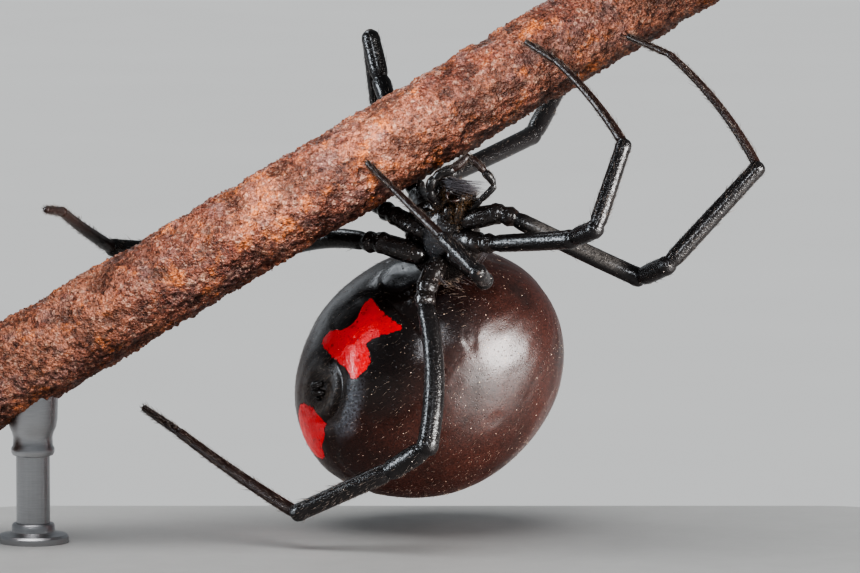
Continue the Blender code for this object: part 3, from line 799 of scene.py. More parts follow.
def limb_hairs(name, limbs):
    """Hairs that lie along the articles of some limbs, towards their tips."""
    parts = []
    for column, limb in enumerate(limbs):
        total = sum(len(row[1]) for row in ARTICLES[limb])
        done = 0
        for index, (part, path, radii, _) in enumerate(ARTICLES[limb]):
            density, length, lift = ARTICLE_HAIRS[part]
            run = np.linalg.norm(np.diff(path, axis=0), axis=1).sum()
            count = int(density * run * 2.0 * math.pi * radii.mean())
            station = draw.random(count) * (len(path) - 1)
            turn = draw.random(count) * FULL_TURN
            low = station.astype(int)
            share = (station - low)[:, None]
            along, first, second = sweep_frames(path)
            centre = path[low] * (1 - share) + path[low + 1] * share
            girth = radii[low] * (1 - share[:, 0]) + radii[low + 1] * share[:, 0]
            out = around(turn, first[low], second[low])
            roots = centre + out * girth[:, None]
            keep = ~limb_inside(roots, (limb, index)) & (globe_height(roots) > 0.02)
            sway = draw.normal(scale=0.16, size=(count, 3))
            direction = along[low] * math.cos(lift) + out * math.sin(lift) + sway
            size = length * draw.uniform(0.6, 1.25, count)
            thick = HAIR_GIRTH * draw.uniform(0.75, 1.3, count)
            bristle = draw.random(count) < BRISTLE_SHARE
            size = np.where(bristle, size * 1.8, size)
            thick = np.where(bristle, thick * 1.7, thick)
            place = np.stack(((column + 0.06 + 0.88 * turn / FULL_TURN) / len(limbs),
                              0.02 + 0.96 * (done + station) / total), axis=1)
            columns = (roots, direction, along[low] - out * 0.35, size, thick, place)
            parts.append([values[keep] for values in columns])
            done += len(path)
    return hair_mesh(name, *joined(parts))


def sphere_points(count):
    """Directions spread evenly but not regularly over a sphere."""
    return unit(draw.normal(size=(count, 3)))


def belt_turn(sphere):
    """Places round the map for points round a form's long axis."""
    return 0.5 + 0.96 * (np.arctan2(sphere[:, 2], sphere[:, 1]) / FULL_TURN)


def abdomen_hairs():
    """Short hairs that lie towards the abdomen's rear, denser at the spinnerets and the belly's front."""
    count = ABDOMEN_HAIR_COUNT
    by_rear = unit(SPINNERETS + draw.normal(scale=0.13, size=(count // 3, 3)))
    by_front = unit(FRONT_HAIRS + draw.normal(scale=(0.05, 0.09, 0.05), size=(count // 12, 3)))
    sphere = np.vstack((sphere_points(count), by_rear, by_front))
    places = abdomen_shape(sphere)
    away = angle_from(sphere, SPINNERETS)
    keep = ~limb_inside(places) & (sphere[:, 0] < 0.93) & (away > 0.10) & (lung_covers(sphere) < 0.3)
    sphere, places, away = sphere[keep], places[keep], away[keep]
    out = abdomen_out(sphere)
    rear = -ABDOMEN_FRAME[:, 0]
    lie = unit(rear - out * (out @ rear)[:, None])
    near = bell(away / 0.20)
    fore = ease(sphere[:, 0], 0.50, 0.58) * ease(0.72 - sphere[:, 0], 0.0, 0.08) * (sphere[:, 2] < -0.6)
    lift = 0.42 + 0.4 * near + 0.3 * fore
    direction = around(lift, lie, out)
    direction = direction + draw.normal(scale=0.18, size=direction.shape)
    size = draw.uniform(0.06, 0.15, len(places)) * (1.0 + 0.3 * near + 1.5 * fore)
    girth = HAIR_GIRTH * draw.uniform(0.6, 1.05, len(places))
    patches = np.stack((belt_turn(sphere), 0.03 + 0.94 * (sphere[:, 0] + 1.0) / 2.0), axis=1)
    marks = mark_values(places)
    return hair_mesh("hairs_abdomen", places, direction, lie - out * 0.3, size, girth, patches, marks)


def surface_out(shape, sphere, roots):
    """Directions out of a round form at some of its points."""
    step = 1e-3
    first = unit(np.cross(sphere, (0.3, 0.5, 0.8)))
    second = np.cross(sphere, first)
    one, two = shape(unit(sphere + first * step)), shape(unit(sphere + second * step))
    out = unit(np.cross(one - roots, two - roots))
    return out * np.sign(np.sum(out * (roots - roots.mean(axis=0)), axis=1))[:, None]


def form_hairs(name, forms, lie_towards, sway, **looks):
    """Hairs on round forms: each row is a form, a number, a length and a lift."""
    parts = []
    for index, (shape, count, length, lift) in enumerate(forms):
        sphere = sphere_points(count)
        roots = shape(sphere)
        out = surface_out(shape, sphere, roots)
        lie = unit(lie_towards - out * (out @ lie_towards)[:, None] + 1e-6)
        direction = lie * math.cos(lift) + out * math.sin(lift)
        direction = direction + draw.normal(scale=sway, size=direction.shape)
        keep = ~limb_inside(roots) & (globe_height(roots) > 0.05)
        size = length * draw.uniform(0.5, 1.3, count)
        girth = HAIR_GIRTH * draw.uniform(0.7, 1.2, count)
        patches = np.stack(((index + 0.5 + 0.45 * sphere[:, 0]) / len(forms), belt_turn(sphere)), axis=1)
        parts.append([values[keep] for values in (roots, direction, lie, size, girth, patches)])
    return hair_mesh(name, *joined(parts), **looks)


def body_hairs():
    """Short dark hairs of the carapace and the breast plate, which lie forwards."""
    forms = ((carapace_shape, 1500, 0.13, 0.5), (sternum_shape, 420, 0.13, 0.6))
    return form_hairs("hairs_body", forms, THORAX_FRAME[:, 0], 0.2)


def mouth_hairs():
    """Brown hairs that cover the jaw plates, the lip and the jaws."""
    forms = [(lobe_shape(LIP_CENTRE, LIP_SIZE), 120, 0.20, 0.7)]
    for side in (-1, 1):
        forms.append((jaw_plate_shape(side), 380, 0.24, 0.7))
        forms.append((lobe_shape((1.88, 0.30 * side, -0.26), (0.25, 0.24, 0.50)), 900, 0.22, 0.55))
    towards = unit(THORAX_FRAME[:, 0] - 0.5 * THORAX_FRAME[:, 2])
    return form_hairs("hairs_mouth", forms, towards, 0.35, rings=3, curl=0.4)


def brush_hairs():
    """The brush of long grey bristles that lies across the jaws, and pale bristles under the legs."""
    count = BRUSH_COUNT
    spread = draw.random(count)
    roots = BRUSH_ROOT + draw.normal(scale=(0.10, 0.06, 0.10), size=(count, 3))
    aim = BRUSH_TIP + np.stack((0.10 * spread, 0.1 * spread, -0.26 * spread), axis=1) - BRUSH_ROOT
    direction = unit(aim) + draw.normal(scale=0.09, size=(count, 3))
    bends = unit(np.cross(unit(aim), (0.0, 1.0, 0.0))) * 0.6 + np.array((0.0, -0.3, 0.0))
    sizes = np.linalg.norm(aim, axis=1) * draw.uniform(0.7, 1.1, count)
    rows = [(roots, direction, bends, sizes, 0.0115 * draw.uniform(0.7, 1.2, count))]
    for start, end, number in PALE_BRISTLES:
        way = np.array(end) - np.array(start)
        starts = np.array(start) + draw.normal(scale=0.05, size=(number, 3))
        ways = unit(way) + draw.normal(scale=0.10, size=(number, 3))
        runs = np.linalg.norm(way) * draw.uniform(0.8, 1.1, number)
        rows.append((starts, ways, ways * 0.0 + (0.05, 0.0, -0.05), runs, np.full(number, 0.008)))
    columns = joined(rows)
    total = len(columns[0])
    patches = np.stack((0.1 + 0.8 * draw.random(total), 0.1 + 0.8 * draw.random(total)), axis=1)
    return hair_mesh("hairs_brush", *columns, patches, rings=6, curl=0.12)


# Eyes, fangs and claws

def merge(name, pieces):
    """Several separate small pieces as one object."""
    bm = bmesh.new()
    for piece in pieces:
        bm.from_mesh(piece.data)
        bpy.data.objects.remove(piece)
    mesh = bpy.data.meshes.new(name)
    bm.to_mesh(mesh)
    bm.free()
    mesh.shade_smooth()
    return add_object(name, mesh)


def make_eyes():
    """Eight small domed eyes on the front of the head."""
    eyes = []
    for side in (-1, 1):
        for forward, left, back in EYE_PLACES:
            centre = (forward - 0.01, left * side, back)
            eyes.append(round_form("eye", lobe_shape(centre, (EYE_RADIUS,) * 3), 7, 0))
    return merge("eyes", eyes)


def make_fangs():
    """Two slender curved fangs, folded towards each other."""
    fangs = [closed_tube("fang", thorax_place(FANG, side), FANG_RADII, 12, 0) for side in (-1, 1)]
    return merge("fangs", fangs)


def bark_gap(place):
    """How far a place stands off the bark, and the direction straight down to it."""
    station = (place - TWIG_LEFT) @ TWIG_ALONG
    across = place - TWIG_LEFT - TWIG_ALONG * station
    out = unit(across)
    plain = TWIG_LEFT + TWIG_ALONG * station + out * twig_radius(station)
    return np.linalg.norm(across) - twig_radius(station) - bark_height(plain[None])[0], -out


def make_claws():
    """Three small curved claws at the tip of each leg, which hook into the bark where it is near."""
    claws = []
    for name in LEG_JOINTS:
        _, path, radii, _ = ARTICLES[f"leg_{name}"][-1]
        along, first, second = sweep_frames(path)
        for turn in (0.0, 2.1, 4.2):
            out = math.cos(turn) * first[-1] + math.sin(turn) * second[-1]
            root = path[-1] + out * radii[-1] * 0.4
            bend, reach = unit(np.array((0.0, 1.0, 0.3))), CLAW_LENGTH
            gap, down = bark_gap(root + along[-1] * 0.15 + out * 0.045)
            if gap < HOLDING_DISTANCE:
                bend, reach = down, gap + CLAW_BITE
            line = [root + along[-1] * run + bend * drop * reach + out * run * 0.3
                    for run, drop in CLAW_STEPS]
            claws.append(closed_tube("claw", line, CLAW_RADII, 8, 0))
    return merge("claws", claws)


# The twig

TWIG_ALONG = unit(TWIG_RIGHT - TWIG_LEFT)
TWIG_DEPTH = np.array((0.0, 1.0, 0.0))


def twig_radius(station):
    """Radius of the plain stick at some distances from its left end."""
    return TWIG_RADII[0] + (TWIG_RADII[1] - TWIG_RADII[0]) * station / TWIG_LENGTH


def twig_surface(station, turn):
    """Places on the plain stick, and the directions out of it."""
    out = around(turn, TWIG_DEPTH, np.cross(TWIG_ALONG, TWIG_DEPTH))
    return TWIG_LEFT + TWIG_ALONG * station[:, None] + out * twig_radius(station)[:, None], out


def bark_height(places):
    """Height of the bark over the plain stick, in millimetres."""
    stretched = places - TWIG_ALONG * (places @ TWIG_ALONG)[:, None] * 0.15
    height = BARK_RELIEF * noise_at(places, BARK_GRAIN)
    height += 0.050 * noise_at(stretched, 2.6, 3.0) + 0.040 * noise_at(stretched, 6.5, 9.0)
    height += 0.045 * ease(0.60 - cell_distance(stretched, 3.8), 0.0, 0.45)
    height += 0.055 * ease(0.6 - cell_distance(places, 7.5, 4.0), 0.0, 0.45)
    height -= 0.07 * ease(noise_at(stretched, 1.3, 21.0), 0.30, 0.55)
    for place, radius, depth in KNOTS:
        gap = np.linalg.norm(places - np.array(place), axis=1) / radius
        height += 0.05 * bell((gap - 1.5) / 0.5) - depth * np.exp(-gap ** 4)
    return height - 0.045


def make_twig():
    """The cut length of branch with its rough bark, sawn at the left and broken at the right."""
    stations = int(TWIG_LENGTH / TWIG_STEP)
    run = np.repeat(np.linspace(0.0, TWIG_LENGTH, stations), TWIG_SIDES)
    plain, out = twig_surface(run, np.tile(even_turns(TWIG_SIDES), stations))
    height = bark_height(plain)
    places = plain + out * height[:, None]
    splinter = 0.5 * noise_at(out, 2.3) + 0.2 * noise_at(out, 9.0)
    places = places + TWIG_ALONG * (splinter * ease(run, TWIG_LENGTH - 1.2, TWIG_LENGTH))[:, None]
    ends = []
    for share in (0.75, 0.5, 0.25):
        ring = TWIG_RIGHT + (places[-TWIG_SIDES:] - TWIG_RIGHT) * share
        wood = 0.25 * noise_at(ring, 1.5) + 0.18 * noise_at(ring, 6.0)
        ends.append(ring + TWIG_ALONG * wood[:, None])
    rows = np.vstack([places] + ends + [TWIG_LEFT, TWIG_RIGHT])
    twig = new_mesh("twig_bark", rows, ring_faces(stations + len(ends), TWIG_SIDES))
    wood = np.zeros(len(rows))
    wood[len(places) + TWIG_SIDES:] = 1.0
    heights = np.concatenate((height, np.full(len(rows) - len(places), 0.1)))
    store(twig.data, height=heights, wood=wood, shade=np.full(len(rows), 0.5))
    twig.data.shade_smooth()
    return twig


def make_grains():
    """Small angular grains and flakes that stand on the bark."""
    count = GRAIN_COUNT
    run = draw.uniform(0.1, TWIG_LENGTH - 0.1, count)
    plain, out = twig_surface(run, draw.uniform(0.0, FULL_TURN, count))
    centre = plain + out * (bark_height(plain) + 0.002)[:, None]
    size = 0.014 + 0.034 * draw.random(count) ** 3
    star = np.array(((1, 0, 0), (-1, 0, 0), (0, 1, 0), (0, -1, 0), (0, 0, 1), (0, 0, -1)), float)
    shape = star[None] * draw.uniform(0.5, 1.3, (count, 6, 1))
    shape = shape + draw.normal(scale=0.22, size=(count, 6, 3))
    turned = sphere_points(count)
    aside = unit(np.cross(turned, draw.normal(size=(count, 3))))
    axes = np.stack((turned, aside, np.cross(turned, aside)), axis=1)
    places = centre[:, None] + np.einsum("nij,njk->nik", shape, axes) * size[:, None, None]
    pattern = [(a, b, c) if (a + b + c) % 2 == 0 else (a, c, b)
               for a in (0, 1) for b in (2, 3) for c in (4, 5)]
    faces = [tuple(6 * i + corner for corner in face) for i in range(count) for face in pattern]
    grains = new_mesh("bark_grains", places.reshape(-1, 3), faces)
    store(grains.data, height=np.full(6 * count, 0.10), wood=np.zeros(6 * count),
          shade=np.repeat(draw.random(count), 6))
    return grains


# The stand's fittings

# Rings of the cup below the twig and of the collar on the base: radius, and height over the
# rod's top and over the base, in millimetres
CUP_RINGS = (
    (0.61, -1.62), (0.72, -1.58), (0.77, -1.48), (0.77, -1.34), (0.71, -1.24), (0.70, -0.95),
    (0.74, -0.78), (0.83, -0.58), (0.88, -0.30), (0.90, 0.30), (0.90, 1.20),
)
COLLAR_RINGS = (
    (1.24, -0.01), (1.26, 0.04), (1.26, 0.20), (1.19, 0.28), (0.86, 0.32), (0.78, 0.38),
    (0.76, 0.62), (0.71, 0.68), (0.61, 0.69),
)
FITTING_SIDES = 64


def world_span(item):
    """Lowest and highest corner of an object in the frame, in millimetres."""
    corners = np.array([item.matrix_world @ Vector(corner) for corner in item.bound_box]) / MM
    return corners.min(axis=0), corners.max(axis=0)


def make_fitting(name, centre, height, rings):
    """A turned fitting round the upright rod."""
    turn = even_turns(FITTING_SIDES)
    rows = [np.stack((centre[0] + radius * np.cos(turn), centre[1] + radius * np.sin(turn),
                      np.full(FITTING_SIDES, height + rise)), axis=1) for radius, rise in rings]
    ends = [(centre[0], centre[1], height + rise) for rise in (rings[0][1], rings[-1][1])]
    places = np.vstack(rows + [np.array(ends)])
    item = new_mesh(name, to_layout(places), ring_faces(len(rings), FITTING_SIDES))
    item.data.shade_smooth()
    item.data.set_sharp_from_angle(angle=math.radians(40))
    return item


def make_fittings():
    """The cup that joins the rod to the twig, and the collar that joins it to the base."""
    low, high = world_span(frame["nodes"]["stand_rod"])
    base_top = world_span(frame["nodes"]["stand_base"])[1][2]
    centre = (low + high) / 2.0
    cup = make_fitting("stand_cup", centre, high[2], CUP_RINGS)
    return cup, make_fitting("stand_collar", centre, base_top, COLLAR_RINGS)


# Materials

class Shader:
    """A material whose nodes are added one by one."""

    def __init__(self, name):
        self.material = bpy.data.materials.new(name)
        self.material.use_nodes = True
        self.tree = self.material.node_tree
        self.surface = self.tree.nodes["Principled BSDF"]

    def plug(self, socket, value):
        """Link a socket to another node's output, or set its value."""
        if isinstance(value, bpy.types.NodeSocket):
            self.tree.links.new(value, socket)
        elif isinstance(value, tuple) and len(value) == 3 and socket.type == "RGBA":
            socket.default_value = (*value, 1.0)
        else:
            socket.default_value = value

    def node(self, kind, inputs, output=0, **settings):
        """Add a node, set or link its inputs, and return one of its outputs."""
        made = self.tree.nodes.new("ShaderNode" + kind)
        for key, value in settings.items():
            setattr(made, key, value)
        for key, value in inputs.items():
            self.plug(made.inputs[key], value)
        return made.outputs[output]

    def place(self):
        """The point's place, in millimetres."""
        inside = self.node("TexCoord", {}, "Object")
        return self.node("VectorMath", {0: inside, "Scale": 1.0 / MM}, operation="SCALE")

    def value(self, name):
        """A number kept on the mesh."""
        return self.node("Attribute", {}, "Fac", attribute_name=name)

    def math(self, operation, *values):
        """Arithmetic on numbers."""
        return self.node("Math", dict(enumerate(values)), operation=operation)

    def times(self, first, second):
        """The product of two numbers."""
        return self.math("MULTIPLY", first, second)

    def scaled(self, value, factor, low):
        """A number times a factor, on top of low."""
        return self.math("MULTIPLY_ADD", value, factor, low)

    def step(self, value, low, high):
        """A smooth step from 0 at low to 1 at high."""
        return self.node("MapRange", {"Value": value, "From Min": low, "From Max": high},
                         interpolation_type="SMOOTHSTEP")

    def noise(self, scale, detail=4.0, rough=0.55, place=None):
        """Cloudy noise."""
        return self.node("TexNoise", {"Vector": place or self.place(), "Scale": scale, "Detail": detail,
                                      "Roughness": rough}, "Fac")

    def clouds(self, low, high, *noise):
        """Patches of cloudy noise with soft edges."""
        return self.step(self.noise(*noise), low, high)

    def cells(self, scale, output="Distance"):
        """Irregular cells."""
        return self.node("TexVoronoi", {"Vector": self.place(), "Scale": scale}, output)

    def shades(self, scale):
        """A random number for each of the irregular cells."""
        return self.node("SeparateColor", {"Color": self.cells(scale, "Color")})

    def rare(self, scale, low, high, share):
        """Small dots in a share of the cells."""
        near = self.step(self.cells(scale), high, low)
        return self.times(near, self.step(self.shades(scale), 1.0 - share - 0.02, 1.0 - share + 0.02))

    def mix(self, share, first, second, blend="MIX"):
        """Two colours mixed."""
        made = self.tree.nodes.new("ShaderNodeMix")
        made.data_type = "RGBA"
        made.blend_type = blend
        for socket, value in ((made.inputs[0], share), (made.inputs[6], first), (made.inputs[7], second)):
            self.plug(socket, value)
        return made.outputs[2]

    def tint(self, colour, share, other, strength=None):
        """A colour with another laid over a share of it."""
        share = share if strength is None else self.times(share, strength)
        return self.mix(share, colour, other)

    def relief(self, *layers):
        """Bumps one on another: each a height, and its depth in millimetres."""
        inputs = {}
        for height, depth in layers:
            inputs.update({"Height": height, "Strength": 1.0, "Distance": depth * MM})
            inputs["Normal"] = normal = self.node("Bump", inputs)
        return normal

    def finish(self, colour, rough, **more):
        """Set or link the surface's sockets, named with underscores, and return the material."""
        for key, value in {"Base_Color": colour, "Roughness": rough, **more}.items():
            self.plug(self.surface.inputs[key.replace("_", " ")], value)
        return self.material


def abdomen_material():
    """Glossy black cuticle with a red-brown sheen painted on its back and flanks, the red marks, fine pores
    and pale specks.
    """
    s = Shader("spider_abdomen")
    # Painted sheen: red-brown over the back and flanks, as of light shining through the cuticle
    brown = s.times(s.value("tone"), s.clouds(0.10, 0.62, 0.55, 3.0))
    streak = s.noise(3.0, 5.0, 0.65)
    dark = s.mix(streak, (0.0035, 0.0022, 0.0020), (0.0090, 0.0045, 0.0038))
    warm = s.mix(streak, (0.012, 0.0038, 0.0028), (0.026, 0.0082, 0.0058))
    mottle = s.mix(s.clouds(0.34, 0.68, 15.0, 4.0, 0.75), (0.40, 0.36, 0.34), (1.70, 1.66, 1.62))
    colour = s.mix(0.8, s.mix(brown, dark, warm), mottle, "MULTIPLY")
    # Slate covers, a dusty ring, a grey highlight painted on the fold's crest, and pale specks
    cover, fold = s.value("cover"), s.value("fold")
    ring = s.step(s.value("ring"), 0.30, 0.06)
    colour = s.tint(colour, cover, s.mix(streak, (0.006, 0.006, 0.007), (0.016, 0.016, 0.018)), 0.7)
    colour = s.tint(colour, s.times(ring, s.clouds(0.48, 0.60, 8.0, 4.0, 0.7)), (0.060, 0.050, 0.044))
    colour = s.tint(colour, s.times(fold, s.clouds(0.30, 0.70, 11.0, 5.0, 0.75)), (0.080, 0.085, 0.098))
    specks = s.math("MAXIMUM", s.rare(3.4, 0.04, 0.085, 0.34), s.rare(6.8, 0.05, 0.12, 0.14))
    dust = s.times(s.rare(5.1, 0.04, 0.10, 0.60), s.clouds(0.50, 0.66, 0.8, 3.0))
    specks = s.math("MAXIMUM", specks, dust)
    colour = s.tint(colour, specks, (0.46, 0.35, 0.27))
    # The red marks, with ragged edges, darker patches and pits, a pale reflection painted on the lower lobe,
    # and pale specks
    ragged = s.scaled(s.noise(5.5, 6.0, 0.78), 0.34, -0.17)
    mark = s.step(s.math("ADD", s.value("mark"), ragged), -0.012, 0.014)
    red = s.mix(s.noise(2.2), (0.38, 0.0006, 0.0018), (0.66, 0.0012, 0.0034))
    red = s.tint(red, s.clouds(0.56, 0.70, 4.5, 4.0, 0.7), (0.10, 0.0004, 0.0008), 0.7)
    pits = s.math("MAXIMUM", s.rare(2.4, 0.06, 0.13, 0.50), s.rare(7.0, 0.10, 0.20, 0.25))
    red = s.tint(red, pits, (0.020, 0.0008, 0.0010), 0.85)
    # Painted reflection: a pale pink tint on the lower lobe
    frost = s.times(s.value("frost"), s.clouds(0.50, 0.66, 11.0, 5.0, 0.75))
    red = s.tint(red, frost, (0.60, 0.30, 0.32), 0.30)
    colour = s.tint(colour, mark, red)
    colour = s.tint(colour, s.times(s.rare(6.2, 0.05, 0.11, 0.30), mark), (0.80, 0.55, 0.50))
    relief = s.relief(
        (s.noise(1.1, 2.0, 0.45), 0.016), (s.noise(4.2, 3.0, 0.55), 0.006),
        (s.step(s.cells(7.5), 0.11, 0.22), 0.007), (s.noise(22.0, 2.0, 0.6), 0.0042),
        (specks, 0.010), (s.times(mark, s.noise(7.0, 4.0, 0.6)), 0.022), (mark, 0.015),
        (s.times(fold, s.noise(6.0, 5.0, 0.75)), 0.05), (s.times(ring, s.noise(13.0, 4.0, 0.7)), 0.05),
    )
    dull = s.math("ADD", s.times(cover, 0.08), s.times(ring, 0.20))
    satin = s.scaled(s.value("tone"), 0.11, 0.15)
    rough = s.math("ADD", s.scaled(s.noise(1.4), 0.08, satin), dull)
    return s.finish(colour, rough, Normal=relief, Specular_IOR_Level=0.50)


def body_material():
    """Dark satin cuticle with coarse grains, for the front of the body."""
    s = Shader("spider_body")
    streak = s.noise(4.0, 5.0, 0.65)
    colour = s.mix(streak, (0.004, 0.0032, 0.003), (0.016, 0.012, 0.011))
    # Painted sheen: a lighter grey on the breast plate
    colour = s.tint(colour, s.value("plate"), (0.024, 0.024, 0.026))
    colour = s.tint(colour, s.clouds(0.60, 0.74, 1.7, 3.0), (0.040, 0.018, 0.009), 0.5)
    colour = s.tint(colour, s.rare(6.5, 0.07, 0.14, 0.30), (0.40, 0.34, 0.30), 0.8)
    relief = s.relief((s.noise(3.2, 3.0), 0.035), (s.step(s.cells(7.0), 0.42, 0.1), 0.026),
                      (s.noise(20.0, 2.0), 0.004))
    return s.finish(colour, s.scaled(streak, 0.16, 0.12), Normal=relief)


def leg_material(name, dark, light, rough_low):
    """Glossy cuticle of the legs, with fine grain, dust with a painted highlight on one thigh, and pale
    specks.
    """
    s = Shader(name)
    streak = s.noise(3.5, 5.0, 0.6)
    specks = s.rare(5.0, 0.06, 0.12, 0.34)
    # Grey dust with a painted highlight, on the upper front side of one thigh
    dust = s.times(s.value("dust"), s.clouds(0.30, 0.62, 13.0, 5.0, 0.75))
    colour = s.tint(s.mix(streak, dark, light), dust, (0.066, 0.060, 0.056))
    colour = s.tint(colour, specks, (0.42, 0.36, 0.32), 0.9)
    relief = s.relief((s.noise(3.0, 2.0), 0.008), (s.step(s.cells(14.0), 0.55, 0.15), 0.0060),
                      (s.noise(34.0, 2.0), 0.0012), (specks, 0.012))
    rough = s.scaled(dust, 0.20, s.scaled(streak, 0.16, rough_low))
    return s.finish(colour, rough, Normal=relief, Specular_IOR_Level=0.40)


def hair_material(name, dark, pale):
    """Fine hairs, each with its own shade, red where they grow on a mark."""
    s = Shader(name)
    lit = s.scaled(s.value("tip"), 0.25, s.times(s.value("shade"), 0.75))
    colour = s.tint(s.mix(lit, dark, pale), s.step(s.value("mark"), -0.01, 0.02), (0.40, 0.012, 0.012))
    return s.finish(colour, 0.36)


def cloudy_material(name, scale, dark, light, rough, creases=0.0, detail=4.0, **more):
    """A smooth matter between two colours, with creases of some depth in millimetres."""
    s = Shader(name)
    if creases:
        more["Normal"] = s.relief((s.noise(14.0), creases))
    return s.finish(s.mix(s.noise(scale, detail), dark, light), rough, **more)


def bark_material():
    """Crusty rust-brown bark with orange, tan and mauve-grey patches, painted shade in its pits, and mixed
    grains.
    """
    s = Shader("twig_surface")
    moved = s.node("VectorMath", {0: s.place(), 1: (31.0, 7.0, 13.0)}, operation="ADD")
    shades = s.shades(8.0)
    colour = s.mix(s.clouds(0.36, 0.64, 0.35, 4.0, 0.6), (0.190, 0.066, 0.042), (0.350, 0.142, 0.085))
    for share, strength, other in (
        (s.clouds(0.50, 0.64, 0.8, 5.0, 0.65), 0.66, (0.240, 0.135, 0.120)),
        (s.clouds(0.53, 0.66, 0.95, 6.0, 0.70, moved), 0.76, (0.62, 0.195, 0.055)),
        (s.clouds(0.58, 0.70, 2.1, 6.0, 0.72, moved), 0.70, (0.50, 0.31, 0.22)),
        (s.clouds(0.52, 0.64, 2.9, 6.0, 0.72), 0.66, (0.115, 0.022, 0.013)),
        (s.step(shades, 0.80, 0.97), 0.38, (0.50, 0.35, 0.27)),
        (s.step(shades, 0.22, 0.04), 0.60, (0.040, 0.012, 0.009)),
        (s.step(s.value("shade"), 0.55, 0.98), 0.5, (0.58, 0.38, 0.28)),
    ):
        colour = s.tint(colour, share, other, strength)
    grit = s.mix(s.clouds(0.34, 0.66, 13.0, 3.0, 0.7), (0.42, 0.36, 0.34), (1.55, 1.56, 1.60))
    colour = s.mix(0.85, colour, grit, "MULTIPLY")
    # Painted shade: darker where the bark sinks below its mean height
    colour = s.tint(colour, s.step(s.value("height"), 0.01, -0.10), (0.030, 0.009, 0.006), 0.72)
    wood = s.mix(s.noise(9.0, 6.0, 0.7), (0.18, 0.09, 0.045), (0.42, 0.27, 0.15))
    colour = s.tint(colour, s.value("wood"), wood)
    relief = s.relief((s.noise(9.0, 5.0, 0.70), 0.075), (s.cells(12.0), 0.045),
                      (s.noise(30.0, 3.0, 0.7), 0.012))
    return s.finish(colour, s.scaled(s.noise(8.0, 3.0), 0.60, 0.08), Normal=relief, Specular_IOR_Level=0.6)


def base_material():
    """Satin pale grey stand base, with a faint cast grain."""
    s = Shader("stand_base_finish")
    colour = s.mix(s.noise(0.8, 5.0), (0.52, 0.515, 0.50), (0.58, 0.575, 0.56))
    relief = s.relief((s.noise(11.0, 3.0), 0.006))
    return s.finish(colour, s.scaled(s.noise(2.5), 0.12, 0.40), Normal=relief)


def rod_material():
    """Brushed steel rod, with fine scratches round it."""
    s = Shader("stand_rod_finish")
    stretched = s.node("VectorMath", {0: s.place(), 1: (0.6, 0.6, 14.0)}, operation="MULTIPLY")
    brushed = s.noise(3.0, 5.0, 0.7, stretched)
    colour = s.mix(brushed, (0.34, 0.34, 0.35), (0.56, 0.56, 0.57))
    return s.finish(colour, s.scaled(brushed, 0.22, 0.24), Metallic=1.0, Normal=s.relief((brushed, 0.008)))


def wear(item, *materials):
    """Give an object its materials, slot by slot, and leave its faces in their slots."""
    slots = item.data.materials
    for index, material in enumerate(materials):
        if index < len(slots):
            slots[index] = material
        else:
            slots.append(material)


# The studio

# The middle of the view, and the place on the twig that its front light is aimed at
MIDDLE = (0.0, 0.0, 0.0)
TWIG_LIT = (-5.5, 0.0, 2.2)
# Flat soft lights: what they light, name, direction, distance, size, radiance, colour and aim
SOFTBOXES = (
    ("spider", "right_window", (0.83, -0.53, -0.21), 120.0, (96.0, 140.0), 27.0, (1.0, 0.985, 0.965),
     MIDDLE),
    ("spider", "left_strip", (-0.96, -0.18, 0.10), 125.0, (42.0, 120.0), 18.0, (0.86, 0.93, 1.0), MIDDLE),
    ("spider", "top_front", (-0.09, -0.93, 0.34), 150.0, (24.0, 44.0), 24.0, (0.91, 0.95, 1.0), MIDDLE),
    ("spider", "left_rim", (-0.58, 0.72, 0.36), 150.0, (100.0, 70.0), 0.5, (0.90, 0.95, 1.0), MIDDLE),
    ("spider", "top_back", (-0.42, 0.42, 0.80), 150.0, (60.0, 50.0), 7.0, (0.90, 0.95, 1.0), MIDDLE),
    ("twig", "twig_front", (0.0, -0.88, 0.47), 19.0, (8.5, 8.0), 39.0, (1.0, 0.97, 0.94), TWIG_LIT),
    ("twig", "twig_back", (-0.10, 0.80, 0.60), 90.0, (60.0, 50.0), 1.8, (1.0, 1.0, 1.0), MIDDLE),
)
OVERHEAD_STRENGTH = 1.7
WORLD_COLOUR = (0.80, 0.84, 0.88, 1.0)
WORLD_STRENGTH = 0.31
FLOOR_HALF = 4.0


def studio_floor():
    """A wide pale floor."""
    mesh = bpy.data.meshes.new("studio_floor")
    corners = [(x * FLOOR_HALF, y * FLOOR_HALF, 0.0) for x, y in ((-1, -1), (1, -1), (1, 1), (-1, 1))]
    mesh.from_pydata(corners, [], [(0, 1, 2, 3)])
    return add_object("studio_floor", mesh)


def light_group(name, items):
    """A collection that only groups objects for the lights."""
    group = bpy.data.collections.new(name)
    for item in items:
        group.objects.link(item)
    return group


def studio_lights(spider, twig, room):
    """Softboxes round the spider and the twig, and an even light on the floor and the stand."""
    lit = {"spider": light_group("lit_spider", spider), "twig": light_group("lit_twig", twig)}
    on_room = light_group("lit_room", room)
    casts = light_group("casting", spider + twig)
    for group, name, direction, distance, size, radiance, colour, aim in SOFTBOXES:
        toward = Vector(LEAN_MATRIX @ unit(direction))
        light = bpy.data.lights.new(name, "AREA")
        light.shape = "RECTANGLE"
        light.size, light.size_y = size[0] * MM, size[1] * MM
        light.energy = radiance * math.pi * light.size * light.size_y
        light.color = colour
        lamp = add_object(name, light)
        lamp.location = Vector(to_world(aim)) + toward * distance * MM
        lamp.rotation_euler = toward.to_track_quat("Z", "Y").to_euler()
        lamp.visible_camera = False
        lamp.light_linking.receiver_collection = lit[group]
        lamp.light_linking.blocker_collection = casts
    overhead = bpy.data.lights.new("overhead", "SUN")
    overhead.energy = OVERHEAD_STRENGTH
    overhead.angle = math.radians(50)
    lamp = add_object("overhead", overhead)
    lamp.rotation_euler = (math.radians(12), math.radians(-8), 0.0)
    lamp.light_linking.receiver_collection = on_room


